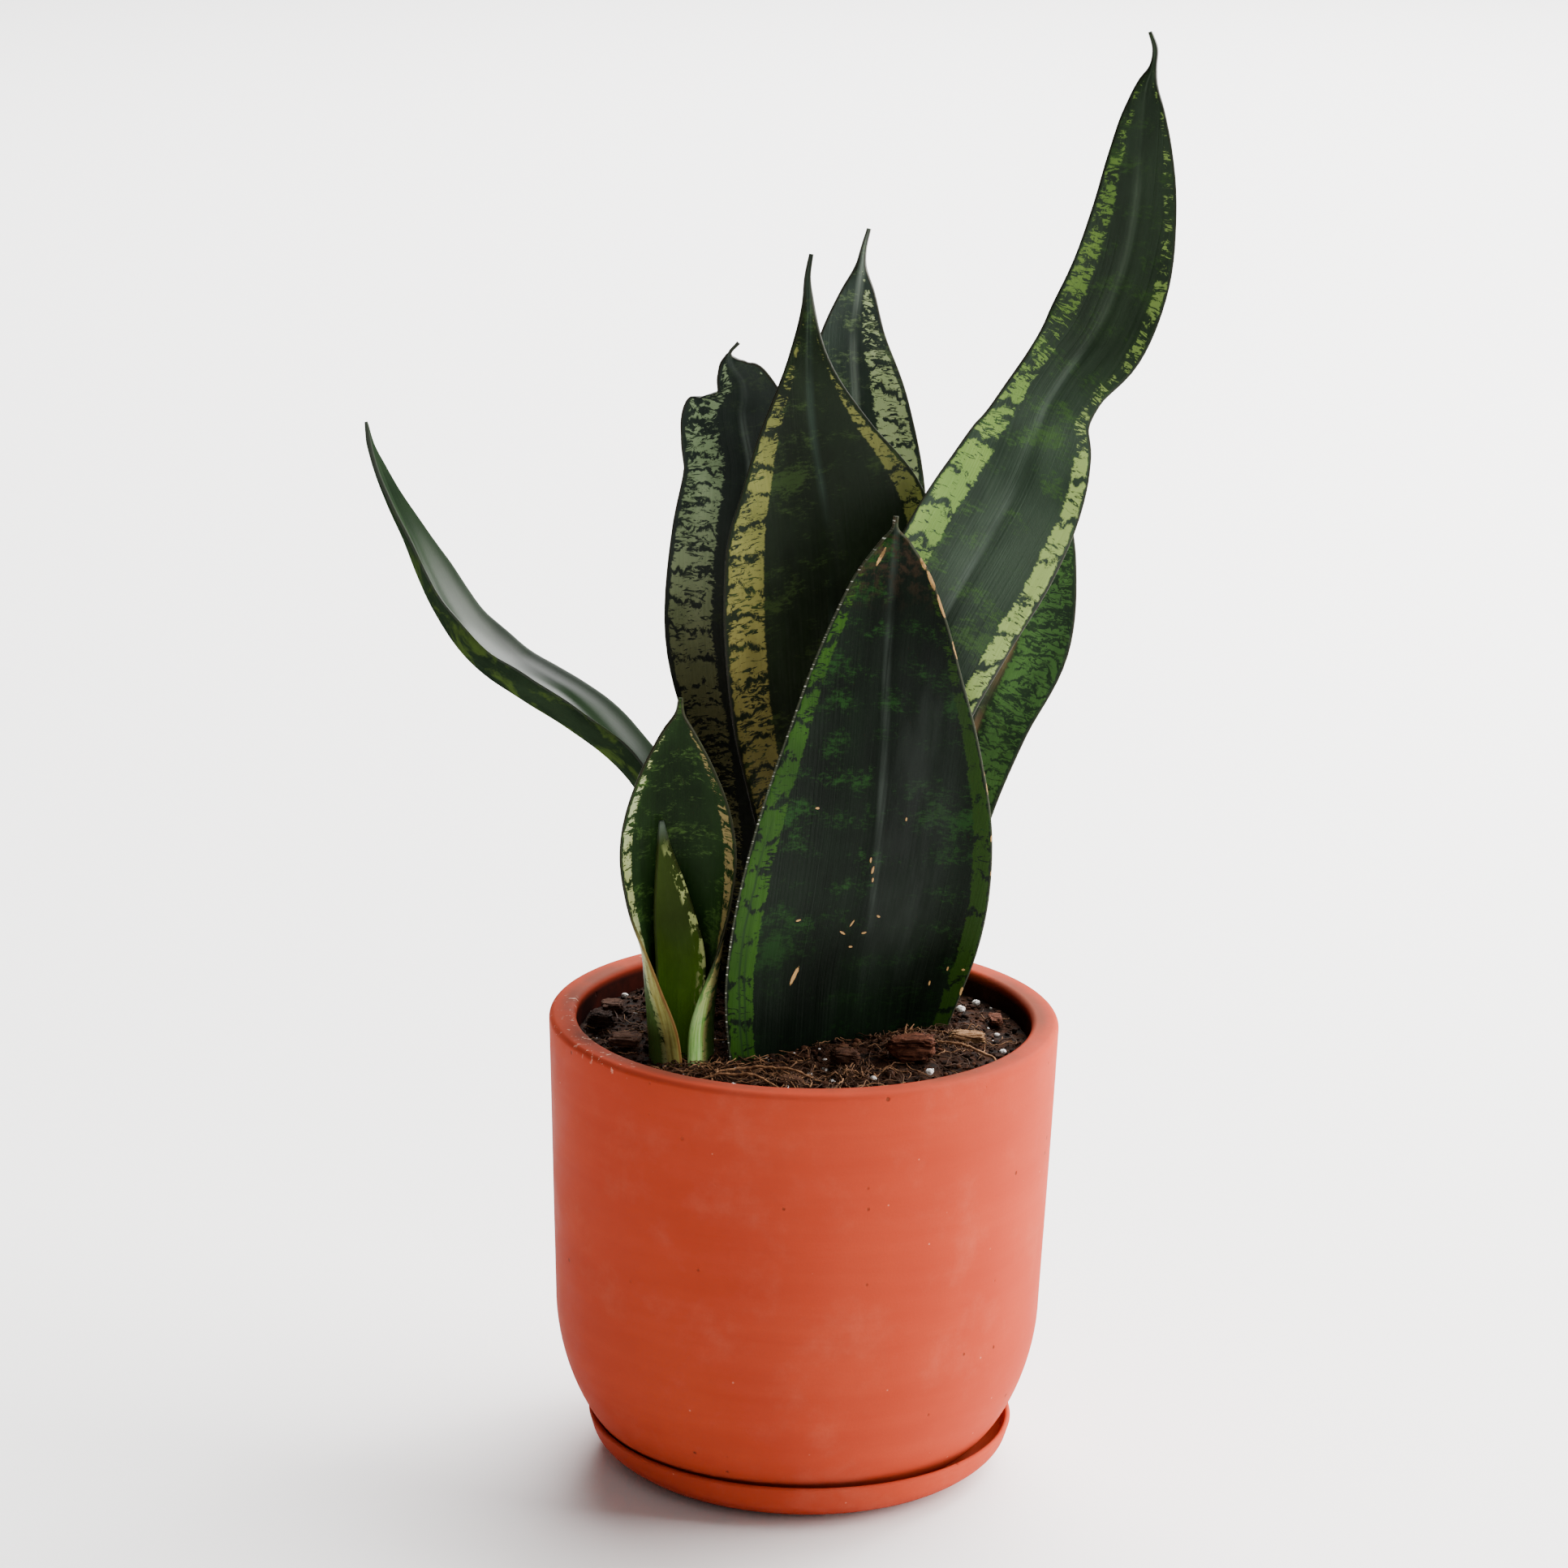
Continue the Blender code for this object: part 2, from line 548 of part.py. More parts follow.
# --------------------------------------------------------------------- build
LEAF_COLOURS = {
    "leaf_front": (0.020, 0.060, 0.030), "leaf_center": (0.035, 0.055, 0.025),
    "leaf_right_tall": (0.045, 0.110, 0.050), "leaf_back_center": (0.060, 0.100, 0.060),
    "leaf_back_left": (0.060, 0.090, 0.065), "leaf_right_back": (0.060, 0.120, 0.060),
    "leaf_left": (0.050, 0.070, 0.050), "leaf_small_outer": (0.050, 0.100, 0.040),
    "leaf_small_inner": (0.080, 0.190, 0.050),
}


def main():
    clear_scene()
    clay = material("terracotta_pot", (0.52, 0.115, 0.045), 0.62)
    clay_saucer = material("terracotta_saucer", (0.50, 0.110, 0.042), 0.62)
    earth = material("potting_soil", (0.022, 0.012, 0.008), 0.95)
    build_pot(clay)
    build_saucer(clay_saucer)
    soil = build_soil(earth)
    cut_pockets(soil)
    for name, (thick, rows) in LEAVES.items():
        across = 13 if name == "leaf_small_outer" else 7
        verts, faces = leaf_mesh(rows, thick, across)
        make_object(name, verts, faces, material(name, LEAF_COLOURS[name], 0.38))
    for name, (x, y, size, turn) in BARK_CHIPS.items():
        tan = name.endswith("tan")
        colour = (0.30, 0.17, 0.09) if tan else (0.070, 0.030, 0.018)
        build_chip(name, x, y, size, turn, material(name, colour, 0.85))
    for name, (x, y, size, turn) in BARK_LUMPS.items():
        colour = (0.16, 0.045, 0.025) if name.endswith("red") else (0.055, 0.026, 0.016)
        build_lump(name, x, y, size, turn, material(name, colour, 0.9))
    for name, (x, y, size) in PERLITE.items():
        build_lump(name, x, y, (size, size * 0.9, size * 0.8), 30,
                   material(name, (0.72, 0.70, 0.66), 0.9), detail=1)
    for name, route in FIBRES.items():
        build_fibre(name, route, material(name, (0.22, 0.10, 0.045), 0.8))


main()
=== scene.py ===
import math
import random

import bmesh
import bpy
from mathutils import Matrix, Vector, noise


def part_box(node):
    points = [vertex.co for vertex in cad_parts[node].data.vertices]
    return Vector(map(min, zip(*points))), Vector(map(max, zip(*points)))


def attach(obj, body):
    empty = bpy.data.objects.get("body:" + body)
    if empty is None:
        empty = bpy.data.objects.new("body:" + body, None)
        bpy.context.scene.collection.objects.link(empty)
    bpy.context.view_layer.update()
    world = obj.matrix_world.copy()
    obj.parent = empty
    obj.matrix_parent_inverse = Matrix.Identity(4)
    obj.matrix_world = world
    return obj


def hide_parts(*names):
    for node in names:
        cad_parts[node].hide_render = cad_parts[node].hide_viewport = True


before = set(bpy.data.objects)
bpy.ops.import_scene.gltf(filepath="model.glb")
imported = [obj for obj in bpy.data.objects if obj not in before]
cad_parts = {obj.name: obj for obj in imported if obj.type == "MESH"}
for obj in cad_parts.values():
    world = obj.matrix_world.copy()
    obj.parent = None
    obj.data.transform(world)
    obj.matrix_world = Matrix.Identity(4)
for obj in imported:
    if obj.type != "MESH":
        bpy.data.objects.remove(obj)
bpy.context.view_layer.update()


# ---------------------------------------------------------------------------
# Saucer.  A low dish of red clay, cast, fired and left unglazed.  It stands on
# the table on its flat foot, and the planter only stands in it.
MM = 0.001


class Field:
    """Number, colour or place that changes over a surface: one socket of a tree."""

    def __init__(self, tree, socket):
        self.tree, self.socket = tree, socket

    def __add__(self, other):
        return calc("ADD", self, other)

    def __sub__(self, other):
        return calc("SUBTRACT", self, other)

    def __rsub__(self, other):
        return calc("SUBTRACT", other, self)

    def __mul__(self, other):
        return calc("MULTIPLY", self, other)

    def __truediv__(self, other):
        return calc("DIVIDE", self, other)

    def __abs__(self):
        return calc("ABSOLUTE", self)

    __radd__, __rmul__ = __add__, __mul__


def put(tree, kind, inputs=None, **settings):
    """Add one node; each input is a field to link, or a plain value."""
    made = tree.nodes.new(kind)
    for key, value in settings.items():
        setattr(made, key, value)
    for key, value in (inputs or {}).items():
        socket = made.inputs[key]
        if isinstance(value, Field):
            tree.links.new(value.socket, socket)
        else:
            socket.default_value = (*value, 1.0) if socket.type == "RGBA" else value
    return made


def derive(kind, inputs, output=0, **settings):
    """Add a node to the tree of the fields that it reads; give what it puts out."""
    tree = next(v.tree for v in inputs.values() if isinstance(v, Field))
    return Field(tree, put(tree, kind, inputs, **settings).outputs[output])


def calc(what, *values):
    return derive("ShaderNodeMath", dict(enumerate(values)), operation=what)


def mottling(where, scale, detail=3.0, rough=0.5, twist=0.0):
    return derive("ShaderNodeTexNoise", {"Vector": where, "Scale": scale, "Detail": detail,
                                         "Roughness": rough, "Distortion": twist})


def ease(value, start, stop, low=0.0, high=1.0):
    """Smooth step from low to high while value goes from start to stop."""
    return derive("ShaderNodeMapRange", {"Value": value, "From Min": start, "From Max": stop,
                                         "To Min": low, "To Max": high},
                  interpolation_type="SMOOTHSTEP")


def tint(amount, under, over, mode="MIX"):
    return derive("ShaderNodeMix", {0: amount, 6: under, 7: over}, 2,
                  data_type="RGBA", blend_type=mode, clamp_factor=True)


def vector(x, y, z):
    return derive("ShaderNodeCombineXYZ", {0: x, 1: y, 2: z})


def split(where):
    """The three numbers of a place."""
    parts = put(where.tree, "ShaderNodeSeparateXYZ", {0: where}).outputs
    return [Field(where.tree, part) for part in parts]


def here(tree, which="Object"):
    return Field(tree, put(tree, "ShaderNodeTexCoord").outputs[which])


def specks(where, scale, channel, rarity, size):
    """Small round spots in a few cells of the surface."""
    cells = put(where.tree, "ShaderNodeTexVoronoi", {"Vector": where, "Scale": scale})
    drawn = derive("ShaderNodeSeparateColor", {0: Field(where.tree, cells.outputs["Color"])},
                   channel)
    return ease(drawn, *rarity) * ease(Field(where.tree, cells.outputs["Distance"]), *size)


def open_group(name, inputs):
    """New node group with inputs of (label, kind, usual value); gives them as fields."""
    tree = bpy.data.node_groups.new(name, "ShaderNodeTree")
    for label, kind, usual in inputs:
        socket = tree.interface.new_socket(label, in_out="INPUT", socket_type=kind)
        if usual is not None:
            socket.default_value = usual
    given = tree.nodes.new("NodeGroupInput")
    return tree, {label: Field(tree, given.outputs[label]) for label, *_ in inputs}


def close_group(tree, results):
    """Give the group one output for each named field."""
    for label, field in results.items():
        kind = "NodeSocketColor" if field.socket.type == "RGBA" else "NodeSocketFloat"
        tree.interface.new_socket(label, in_out="OUTPUT", socket_type=kind)
    put(tree, "NodeGroupOutput", results)


def use_group(tree, group, inputs):
    made = put(tree, "ShaderNodeGroup", inputs, node_tree=group)
    return {out.name: Field(tree, out) for out in made.outputs}


def new_material(name):
    mat = bpy.data.materials.new(name)
    mat.use_nodes = True
    return mat, mat.node_tree


def dress(tree, colour, rough=None, height=None, depth=None, coat=None, shine=None):
    """Lead fields to the shader; depth is the bump's in metres, shine the specular level."""
    shader = tree.nodes["Principled BSDF"]
    normal = height and derive("ShaderNodeBump", {"Height": height, "Distance": depth,
                                                  "Strength": 1.0})
    for label, field in (("Base Color", colour), ("Roughness", rough), ("Normal", normal),
                         ("Coat Weight", coat)):
        if field:
            tree.links.new(field.socket, shader.inputs[label])
    if shine is not None:
        shader.inputs["Specular IOR Level"].default_value = shine


def solid(name, verts, faces, mat, smooth=True):
    mesh = bpy.data.meshes.new(name)
    mesh.from_pydata(verts, [], faces)
    mesh.polygons.foreach_set("use_smooth", [smooth] * len(mesh.polygons))
    mesh.materials.append(mat)
    piece = bpy.data.objects.new(name, mesh)
    bpy.context.scene.collection.objects.link(piece)
    return piece


def turned(name, loop, centre_x, turns, mat, wobble):
    """Body turned from a closed loop of (radius, z), slightly out of true."""
    verts, faces, n = [], [], len(loop)
    for j in range(turns):
        a = 2 * math.pi * j / turns
        ca, sa = math.cos(a), math.sin(a)
        for r, z in loop:
            off = wobble * noise.noise(Vector((ca * 0.9, sa * 0.9, z * 14)))
            verts.append((centre_x + (r + off) * ca, (r + off) * sa, z))
    for j in range(turns):
        k = (j + 1) % turns
        faces += [(j * n + i, k * n + i, k * n + (i + 1) % n, j * n + (i + 1) % n)
                  for i in range(n)]
    return solid(name, verts, faces, mat)


def smooth_route(rows, per_span):
    """Smooth curve through every row, with so many steps between two rows."""
    length = [0.0]
    for a, b in zip(rows, rows[1:]):
        length.append(length[-1] + math.dist(a[:3], b[:3]))
    slopes, last = [], len(rows) - 1
    for i in range(len(rows)):
        lo, hi = max(i - 1, 0), min(i + 1, last)
        if 0 < i < last:
            h0, h1 = length[i] - length[lo], length[hi] - length[i]
            slopes.append([((p - q) / h0 * h1 + (s - p) / h1 * h0) / (h0 + h1)
                           for q, p, s in zip(rows[lo], rows[i], rows[hi])])
        else:
            h = length[hi] - length[lo]
            slopes.append([(s - q) / h for q, s in zip(rows[lo], rows[hi])])
    out = []
    for k in range(last):
        h = length[k + 1] - length[k]
        for j in range(per_span):
            t = j / per_span
            a = 2 * t ** 3 - 3 * t ** 2 + 1
            b = (t ** 3 - 2 * t ** 2 + t) * h
            e = (t ** 3 - t ** 2) * h
            out.append([a * p + b * m0 + (1 - a) * q + e * m1 for p, m0, q, m1
                        in zip(rows[k], slopes[k], rows[k + 1], slopes[k + 1])])
    out.append(list(rows[-1]))
    return out


def bow(cx, cz, radius, start, end, steps):
    """Arc of (radius, z) points, angles in degrees from straight outward."""
    return [(cx + radius * math.cos(math.radians(start + (end - start) * i / steps)),
             cz + radius * math.sin(math.radians(start + (end - start) * i / steps)))
            for i in range(steps + 1)]


def stand(piece, node):
    """The finished piece takes the place of the plain solid of the same thing."""
    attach(piece, "root")
    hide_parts(node)


# Fired clay: broad uneven firing, faint turning marks round the body, sandy
# grain, tiny pits and a thin chalky bloom.
fired_clay, given = open_group("fired_clay", (
    ("Deep", "NodeSocketColor", None), ("Bright", "NodeSocketColor", None),
    ("Bloom", "NodeSocketFloat", 0.3)))
place = here(fired_clay)
x, y, z = split(place)
firing = mottling(place, 11.0, 3.0, 0.6, 0.6)
marks = mottling(vector(x * 7.0, y * 7.0, z * 95.0), 1.0, 5.0, 0.6, 0.3)
cloud = mottling(place, 48.0, 5.0, 0.65)
sand = mottling(place, 1500.0, 2.0, 0.6)
pits = specks(place, 210.0, 0, (0.93, 0.95), (0.17, 0.08))
flecks = specks(place, 330.0, 1, (0.975, 0.98), (0.14, 0.06))
colour = tint(ease(firing * 0.55 + marks * 0.45, 0.28, 0.72), given["Deep"], given["Bright"])
colour = tint(given["Bloom"] * ease(cloud, 0.48, 0.78), colour, (0.72, 0.33, 0.22))
colour = tint(ease(sand, 0.3, 0.7) * 0.16, colour, (0.24, 0.040, 0.020))
colour = tint(flecks * 0.35, colour, (0.70, 0.30, 0.20))
colour = tint(pits * 0.75, colour, (0.10, 0.025, 0.012))
close_group(fired_clay, {"Colour": colour, "Roughness": ease(cloud, 0.3, 0.75, 0.50, 0.68),
                         "Height": marks * 0.6 + sand * 0.12 - pits * 0.9})


def clay_skin(name):
    """Bare clay; gives the material, its tree and the clay's own fields."""
    mat, tree = new_material(name)
    clay = use_group(tree, fired_clay, {"Deep": (0.315, 0.032, 0.014),
                                        "Bright": (0.38, 0.046, 0.020), "Bloom": 0.06})
    dress(tree, clay["Colour"], clay["Roughness"], clay["Height"], 0.25 * MM, shine=0.01)
    return mat, tree, clay


saucer_clay, *_ = clay_skin("terracotta_saucer")

low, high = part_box("saucer")
saucer_x = (low[0] + high[0]) / 2
lip_r, lip_z = (high[0] - low[0]) / 2, high[2]
lip = 0.85 * MM                             # half the lip's thickness
under = [(p[0], p[2]) for p in smooth_route(
    [(0.0460, 0, 0.0), (0.0510, 0, 0.0010), (0.0575, 0, 0.0042),
     (0.0615, 0, 0.0080), (lip_r, 0, lip_z - lip)], 6)]
inside = [(p[0], p[2]) for p in smooth_route(
    [(lip_r - 2 * lip, 0, lip_z - lip), (0.0603, 0, 0.0105),
     (0.0565, 0, 0.0072), (0.0505, 0, 0.0050)], 6)]
loop = ([(0.0005, 0.0), (0.030, 0.0), (0.0450, 0.0)] + under
        + bow(lip_r - lip, lip_z - lip, lip, 0, 180, 10)[1:-1]
        + inside + [(0.030, 0.0050), (0.0005, 0.0050)])
saucer = turned("saucer_clay", loop, saucer_x, 220, saucer_clay, 0.15 * MM)
stand(saucer, "saucer")


# ---------------------------------------------------------------------------
# Planter.  The same clay, cast about 8 mm thick: a nearly straight side that
# rounds in to a small foot, a flat rim with softened edges, a drain hole.
low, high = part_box("pot")
rim_r, rim_z, foot_z = high[0], high[2], low[2]
shoulder_r, shoulder_z, foot_r, hole_r = 0.0720, 0.0500, 0.0470, 0.0080
wall, soften = 8.0 * MM, 1.8 * MM


def side_radius(z):
    if z >= shoulder_z:
        return shoulder_r + (rim_r - shoulder_r) * (z - shoulder_z) / (rim_z - shoulder_z)
    t = (shoulder_z - z) / (shoulder_z - foot_z)
    return foot_r + (shoulder_r - foot_r) * max(0.0, 1 - t ** 1.75) ** (1 / 1.8)


def inner_radius(z):
    scale = (rim_z - foot_z) / (rim_z - foot_z - wall)
    return side_radius(rim_z - (rim_z - z) * scale) - wall


def heights(bottom, top, steps):
    return [bottom + (top - bottom) * (i / steps) ** 1.7 for i in range(steps + 1)]


top = rim_z - soften
loop = [(side_radius(z), z) for z in heights(foot_z, top, 44)]
loop += bow(side_radius(top) - soften, top, soften, 0, 90, 7)[1:]
loop += bow(inner_radius(top) + soften, top, soften, 90, 180, 7)
loop += [(inner_radius(z), z) for z in heights(foot_z + wall, top, 30)][::-1][1:]
loop += [(0.020, foot_z + wall), (hole_r, foot_z + wall), (hole_r, foot_z), (0.030, foot_z)]

pot_clay, tree, clay = clay_skin("terracotta_pot")
place = here(tree)
x, y, z = split(place)
radial = calc("SQRT", x * x + y * y)
# the wall inside the rim is damp and stained by the soil, and painted darker as the shade inside
# the rim
stain_and_shade = (ease(radial, rim_r - 6.6 * MM, rim_r - 8.2 * MM) * ease(z, rim_z, rim_z - 3.5 * MM)
         * ease(z, 0.080, 0.095)
         * ease(mottling(place, 70.0, 4.0, 0.6), 0.25, 0.6, 0.90, 1.0))
colour = tint(stain_and_shade, clay["Colour"], (0.016, 0.005, 0.004))
# the flat of the rim is dulled by brown damp dust
dust = (ease(z, rim_z - 1.6 * MM, rim_z - 0.2 * MM)
        * ease(radial, rim_r - 0.8 * MM, rim_r - 5.5 * MM, 0.15, 0.75)
        * ease(mottling(place, 38.0, 4.0, 0.6), 0.3, 0.6, 0.35, 1.0))
colour = tint(dust, colour, (0.085, 0.038, 0.026))
# handling has rubbed pale specks along the rim's edges
rim_band = (ease(z, rim_z - 4.5 * MM, rim_z - 1.0 * MM)
            * ease(radial, rim_r - 9.5 * MM, rim_r - 7.0 * MM))
chips = (ease(mottling(place, 420.0, 4.0, 0.7), 0.60, 0.68)
         * ease(mottling(place, 26.0, 2.0), 0.50, 0.66))
colour = tint(rim_band * chips * 0.7, colour, (0.78, 0.46, 0.34))
dress(tree, colour)

pot = turned("pot_clay", loop, 0.0, 256, pot_clay, 0.18 * MM)
stand(pot, "pot")


# ---------------------------------------------------------------------------
# Soil.  Damp peat and composted bark, loose and crumbly, about 7 mm under the
# rim.  The body is one lump; crumbs of the same stuff lie all over it.
soil_low, soil_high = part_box("soil")
soil_z = soil_high[2] - 1.9 * MM
soil_r = inner_radius(soil_z) - 0.5 * MM


def soil_top(x, y):
    """Height of the crumbly surface, heaped a little toward the right front."""
    r = math.hypot(x, y)
    heap = 1.8 * MM * math.exp(-((x - 0.034) ** 2 + (y + 0.022) ** 2) / 0.00045)
    rough = (1.0 * MM * noise.noise(Vector((x * 90, y * 90, 3.1)))
             + 0.7 * MM * noise.noise(Vector((x * 230, y * 230, 7.7)))
             + 0.45 * MM * noise.noise(Vector((x * 600, y * 600, 1.9))))
    return soil_z + heap + rough - 1.0 * MM * max(0.0, (r - 0.050) / 0.017)


def kept(tree, name, output="Fac"):
    """What the mesh itself keeps at each of its points."""
    return Field(tree, put(tree, "ShaderNodeAttribute", attribute_name=name).outputs[output])


soil_mat, tree = new_material("potting_soil")
place = here(tree)
clump = mottling(place, 260.0, 5.0, 0.7, 0.4)
fine = mottling(place, 1400.0, 3.0, 0.7)
colour = tint(ease(clump, 0.35, 0.65), (0.0050, 0.0026, 0.0016), (0.036, 0.014, 0.007))
colour = tint(ease(kept(tree, "shade"), 0.60, 1.0), colour, (0.062, 0.025, 0.013))
colour = tint(ease(fine, 0.62, 0.75) * 0.5, colour, (0.16, 0.085, 0.050))
dress(tree, colour, ease(clump, 0.3, 0.7, 0.78, 1.0), clump + fine * 0.4, 0.9 * MM, shine=0.06)

rings, turns = 70, 300
verts, faces = [(0.0, 0.0, soil_top(0.0, 0.0))], []
for i in range(1, rings + 1):
    for j in range(turns):
        a = 2 * math.pi * j / turns
        x, y = soil_r * i / rings * math.cos(a), soil_r * i / rings * math.sin(a)
        verts.append((x, y, soil_top(x, y)))
for j in range(turns):
    k = (j + 1) % turns
    faces.append((0, 1 + j, 1 + k))
    faces += [(1 + i * turns + j, 1 + (i + 1) * turns + j,
               1 + (i + 1) * turns + k, 1 + i * turns + k) for i in range(rings - 1)]
rim = 1 + (rings - 1) * turns
side = len(verts)
for z in heights(foot_z + wall + 0.4 * MM, soil_z - 4 * MM, 12)[::-1]:
    for j in range(turns):
        a = 2 * math.pi * j / turns
        r = inner_radius(z) - 0.7 * MM
        verts.append((r * math.cos(a), r * math.sin(a), z))
for j in range(turns):
    k = (j + 1) % turns
    faces.append((rim + j, side + j, side + k, rim + k))
    faces += [(side + i * turns + j, side + (i + 1) * turns + j,
               side + (i + 1) * turns + k, side + i * turns + k) for i in range(12)]
faces.append(tuple(side + 12 * turns + j for j in range(turns)))
soil = solid("soil_body", verts, faces, soil_mat)
stand(soil, "soil")


def pebble(detail):
    bm = bmesh.new()
    bmesh.ops.create_icosphere(bm, subdivisions=detail, radius=1.0)
    shape = ([v.co.copy() for v in bm.verts],
             [tuple(v.index for v in f.verts) for f in bm.faces])
    bm.free()
    return shape


def keep_values(piece, name, kind, values):
    """Keep a number, or a place, at each point of the mesh."""
    layer = piece.data.attributes.new(name, kind, "POINT")
    layer.data.foreach_set("vector" if kind == "FLOAT_VECTOR" else "value", values)


def lie(piece):
    """Loose stuff goes with the piece that it belongs to, and replaces nothing."""
    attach(piece, "root")


def scatter(name, count, sizes, mat, seed, flat=0.75, detail=1, sink=0.2):
    """Loose grains lying on the soil, all in one piece."""
    rnd = random.Random(seed)
    shape, tris = pebble(detail)
    verts, faces, shades = [], [], []
    for _ in range(count):
        r, a = soil_r * math.sqrt(rnd.random()) * 0.985, rnd.uniform(0, 2 * math.pi)
        x, y = r * math.cos(a), r * math.sin(a)
        size = rnd.uniform(*sizes) * (0.4 + 0.6 * rnd.random()) * MM / 2
        turn = Matrix.Rotation(rnd.uniform(0, 6.3), 3, "Z") @ Matrix.Rotation(
            rnd.uniform(-0.5, 0.5), 3, "X")
        grow = (rnd.uniform(0.8, 1.5), rnd.uniform(0.7, 1.1), rnd.uniform(0.6, 1.0) * flat)
        spot = Vector((x, y, soil_top(x, y) + size * grow[2] * (1 - sink)))
        jolt = Vector((rnd.random() * 50, rnd.random() * 50, rnd.random() * 50))
        first, shade = len(verts), rnd.random()
        for v in shape:
            k = 1 + 0.35 * noise.noise(v * 1.7 + jolt)
            verts.append(tuple(spot + turn @ Vector(
                [c * g * k * size for c, g in zip(v, grow)])))
            shades.append(shade)
        faces += [tuple(first + i for i in tri) for tri in tris]
    piece = solid(name, verts, faces, mat)
    keep_values(piece, "shade", "FLOAT", shades)
    return piece


for name, count, sizes, seed, detail in (("soil_crumbs_fine", 3400, (0.7, 1.7), 11, 1),
                                         ("soil_crumbs", 560, (1.6, 3.4), 12, 2)):
    crumbs = scatter(name, count, sizes, soil_mat, seed, detail=detail)
    lie(crumbs)


# ---------------------------------------------------------------------------
# Front leaf.  A stiff upright blade, thick in the middle and thin at its waxy
# margins, nearly black green with a green band down each side.  It grows from
# a rhizome under the soil; its buried end stands in the soil.
def blade(name, rows, thick, mat, across=45, per_span=7, ripple=0.35, channel=0.45):
    """Leaf through its stations: x, y, z, width (mm), facing, curl (degrees).

    Each point keeps where it lies on the leaf, in mm: how far across from the
    midrib, how far along, and half the width there.
    """
    margin, rounded = 0.9 * MM, 0.94        # thickness there; where its rounding starts
    stations = smooth_route(rows, per_span)
    rings = len(stations)
    points = [Vector(s[:3]) * MM for s in stations]
    seed = sum(map(ord, name))
    verts, faces, spots = [], [], []
    length = 0.0
    for i, s in enumerate(stations):
        if i:
            length += (points[i] - points[i - 1]).length
        along = (points[min(i + 1, rings - 1)] - points[max(i - 1, 0)]).normalized()
        a = math.radians(s[4])
        face = Vector((math.cos(a), math.sin(a), 0.0))
        face = (face - face.dot(along) * along).normalized()
        side = face.cross(along)
        width = max(s[3], 1.0) * MM
        curl = math.radians(max(s[5], 2.0))
        radius = width / curl
        mid = min(thick * (1.0 - 0.5 * i / (rings - 1)) * MM, 0.75 * width)
        edge = min(margin, 0.6 * width)
        upper, lower = [], []
        for j in range(across):
            # crowd the points toward the margins, which are rounded
            u = math.sin(math.pi / 2 * (-1 + 2 * j / (across - 1)))
            phi = u * curl / 2
            centre = (points[i] + side * radius * math.sin(phi)
                      + face * radius * (1 - math.cos(phi)))
            out = face * math.cos(phi) - side * math.sin(phi)
            wave = noise.noise(Vector((length * 55, 3.0 * (u > 0), seed)))
            centre += out * ripple * MM * wave * abs(u) ** 5 * min(1.0, width / 0.02)
            dip = channel * MM * math.exp(-(u / 0.10) ** 2) * min(1.0, width / 0.03)
            half = (edge + (mid - edge) * (1 - abs(u) ** 2.4)) / 2
            if abs(u) > rounded:
                half *= math.sqrt(max(0.0, 1 - ((abs(u) - rounded) / (1.0001 - rounded)) ** 2))
            upper.append(centre + out * (half - dip))
            lower.append(centre - out * (half + 0.6 * dip))
            spots.append((u * width / MM / 2, length / MM, width / MM / 2))
        verts += [tuple(v) for v in upper + lower[::-1]]
    n = 2 * across
    places = []
    for i in range(rings):
        ring = spots[i * across:(i + 1) * across]
        places += ring + ring[::-1]
    for i in range(rings - 1):
        faces += [(i * n + j, i * n + (j + 1) % n, (i + 1) * n + (j + 1) % n,
                   (i + 1) * n + j) for j in range(n)]
    for base, turn in ((0, 1), ((rings - 1) * n, -1)):
        faces += [(base + j, base + j + 1, base + n - 2 - j, base + n - 1 - j)[::turn]
                  for j in range(across - 1)]
    piece = solid(name, verts, faces, mat)
    bm = bmesh.new()
    bm.from_mesh(piece.data)
    bmesh.ops.recalc_face_normals(bm, faces=bm.faces)
    bm.to_mesh(piece.data)
    bm.free()
    keep_values(piece, "leaf_place", "FLOAT_VECTOR", [c for p in places for c in p])
    keep_values(piece, "upper_face", "FLOAT", ([1.0] * across + [0.0] * across) * rings)
    return piece


# Markings of a snake plant leaf, from a place on the leaf: pale bands down the
# margins, broken by dark zigzag marks, fuzzy light cross bars between them,
# fine veins along the blade, a midrib streak that most leaves use as a painted
# sheen and one as a brown streak, and the horny margin line.
leaf_markings, given = open_group("leaf_markings", (("Place", "NodeSocketVector", None), *(
    (label, "NodeSocketFloat", usual) for label, usual in (
        ("Seed", 0.0), ("Left Band", 0.2), ("Right Band", 0.2), ("Dark Rim", 0.9), ("Jag", 1.0),
        ("Broken", 0.4), ("Top", 150.0), ("Low", -100.0), ("Pitch", 9.0), ("Bars", 0.5),
        ("Rib Shift", 0.0)))))
across, along, half_width = split(given["Place"])
rim = half_width - abs(across)


def on_leaf(x_scale, y_scale, shift, detail=3.0, rough=0.55, twist=0.0):
    return mottling(vector(across * x_scale, along * y_scale, given["Seed"] + shift),
                    1.0, detail, rough, twist)


# bands: as wide as told, with a jagged inner edge and a dark line outside
jag = given["Jag"] * (on_leaf(0.35, 0.9, 3.0, 4.0, 0.65) * 4.0
                      + on_leaf(0.1, 0.10, 5.0, 2.0) * 2.5 - 3.25)
bands = [ease(rim - (half_width * given[key] + jag), 0.3, -0.3) * ease(across * side, -0.5, 0.5)
         for side, key in ((1.0, "Left Band"), (-1.0, "Right Band"))]
edge = given["Dark Rim"] + (on_leaf(0.2, 0.35, 7.0, 4.0) - 0.5) * 2.4
band = calc("MAXIMUM", *bands) * ease(rim - edge, -0.2, 0.3)
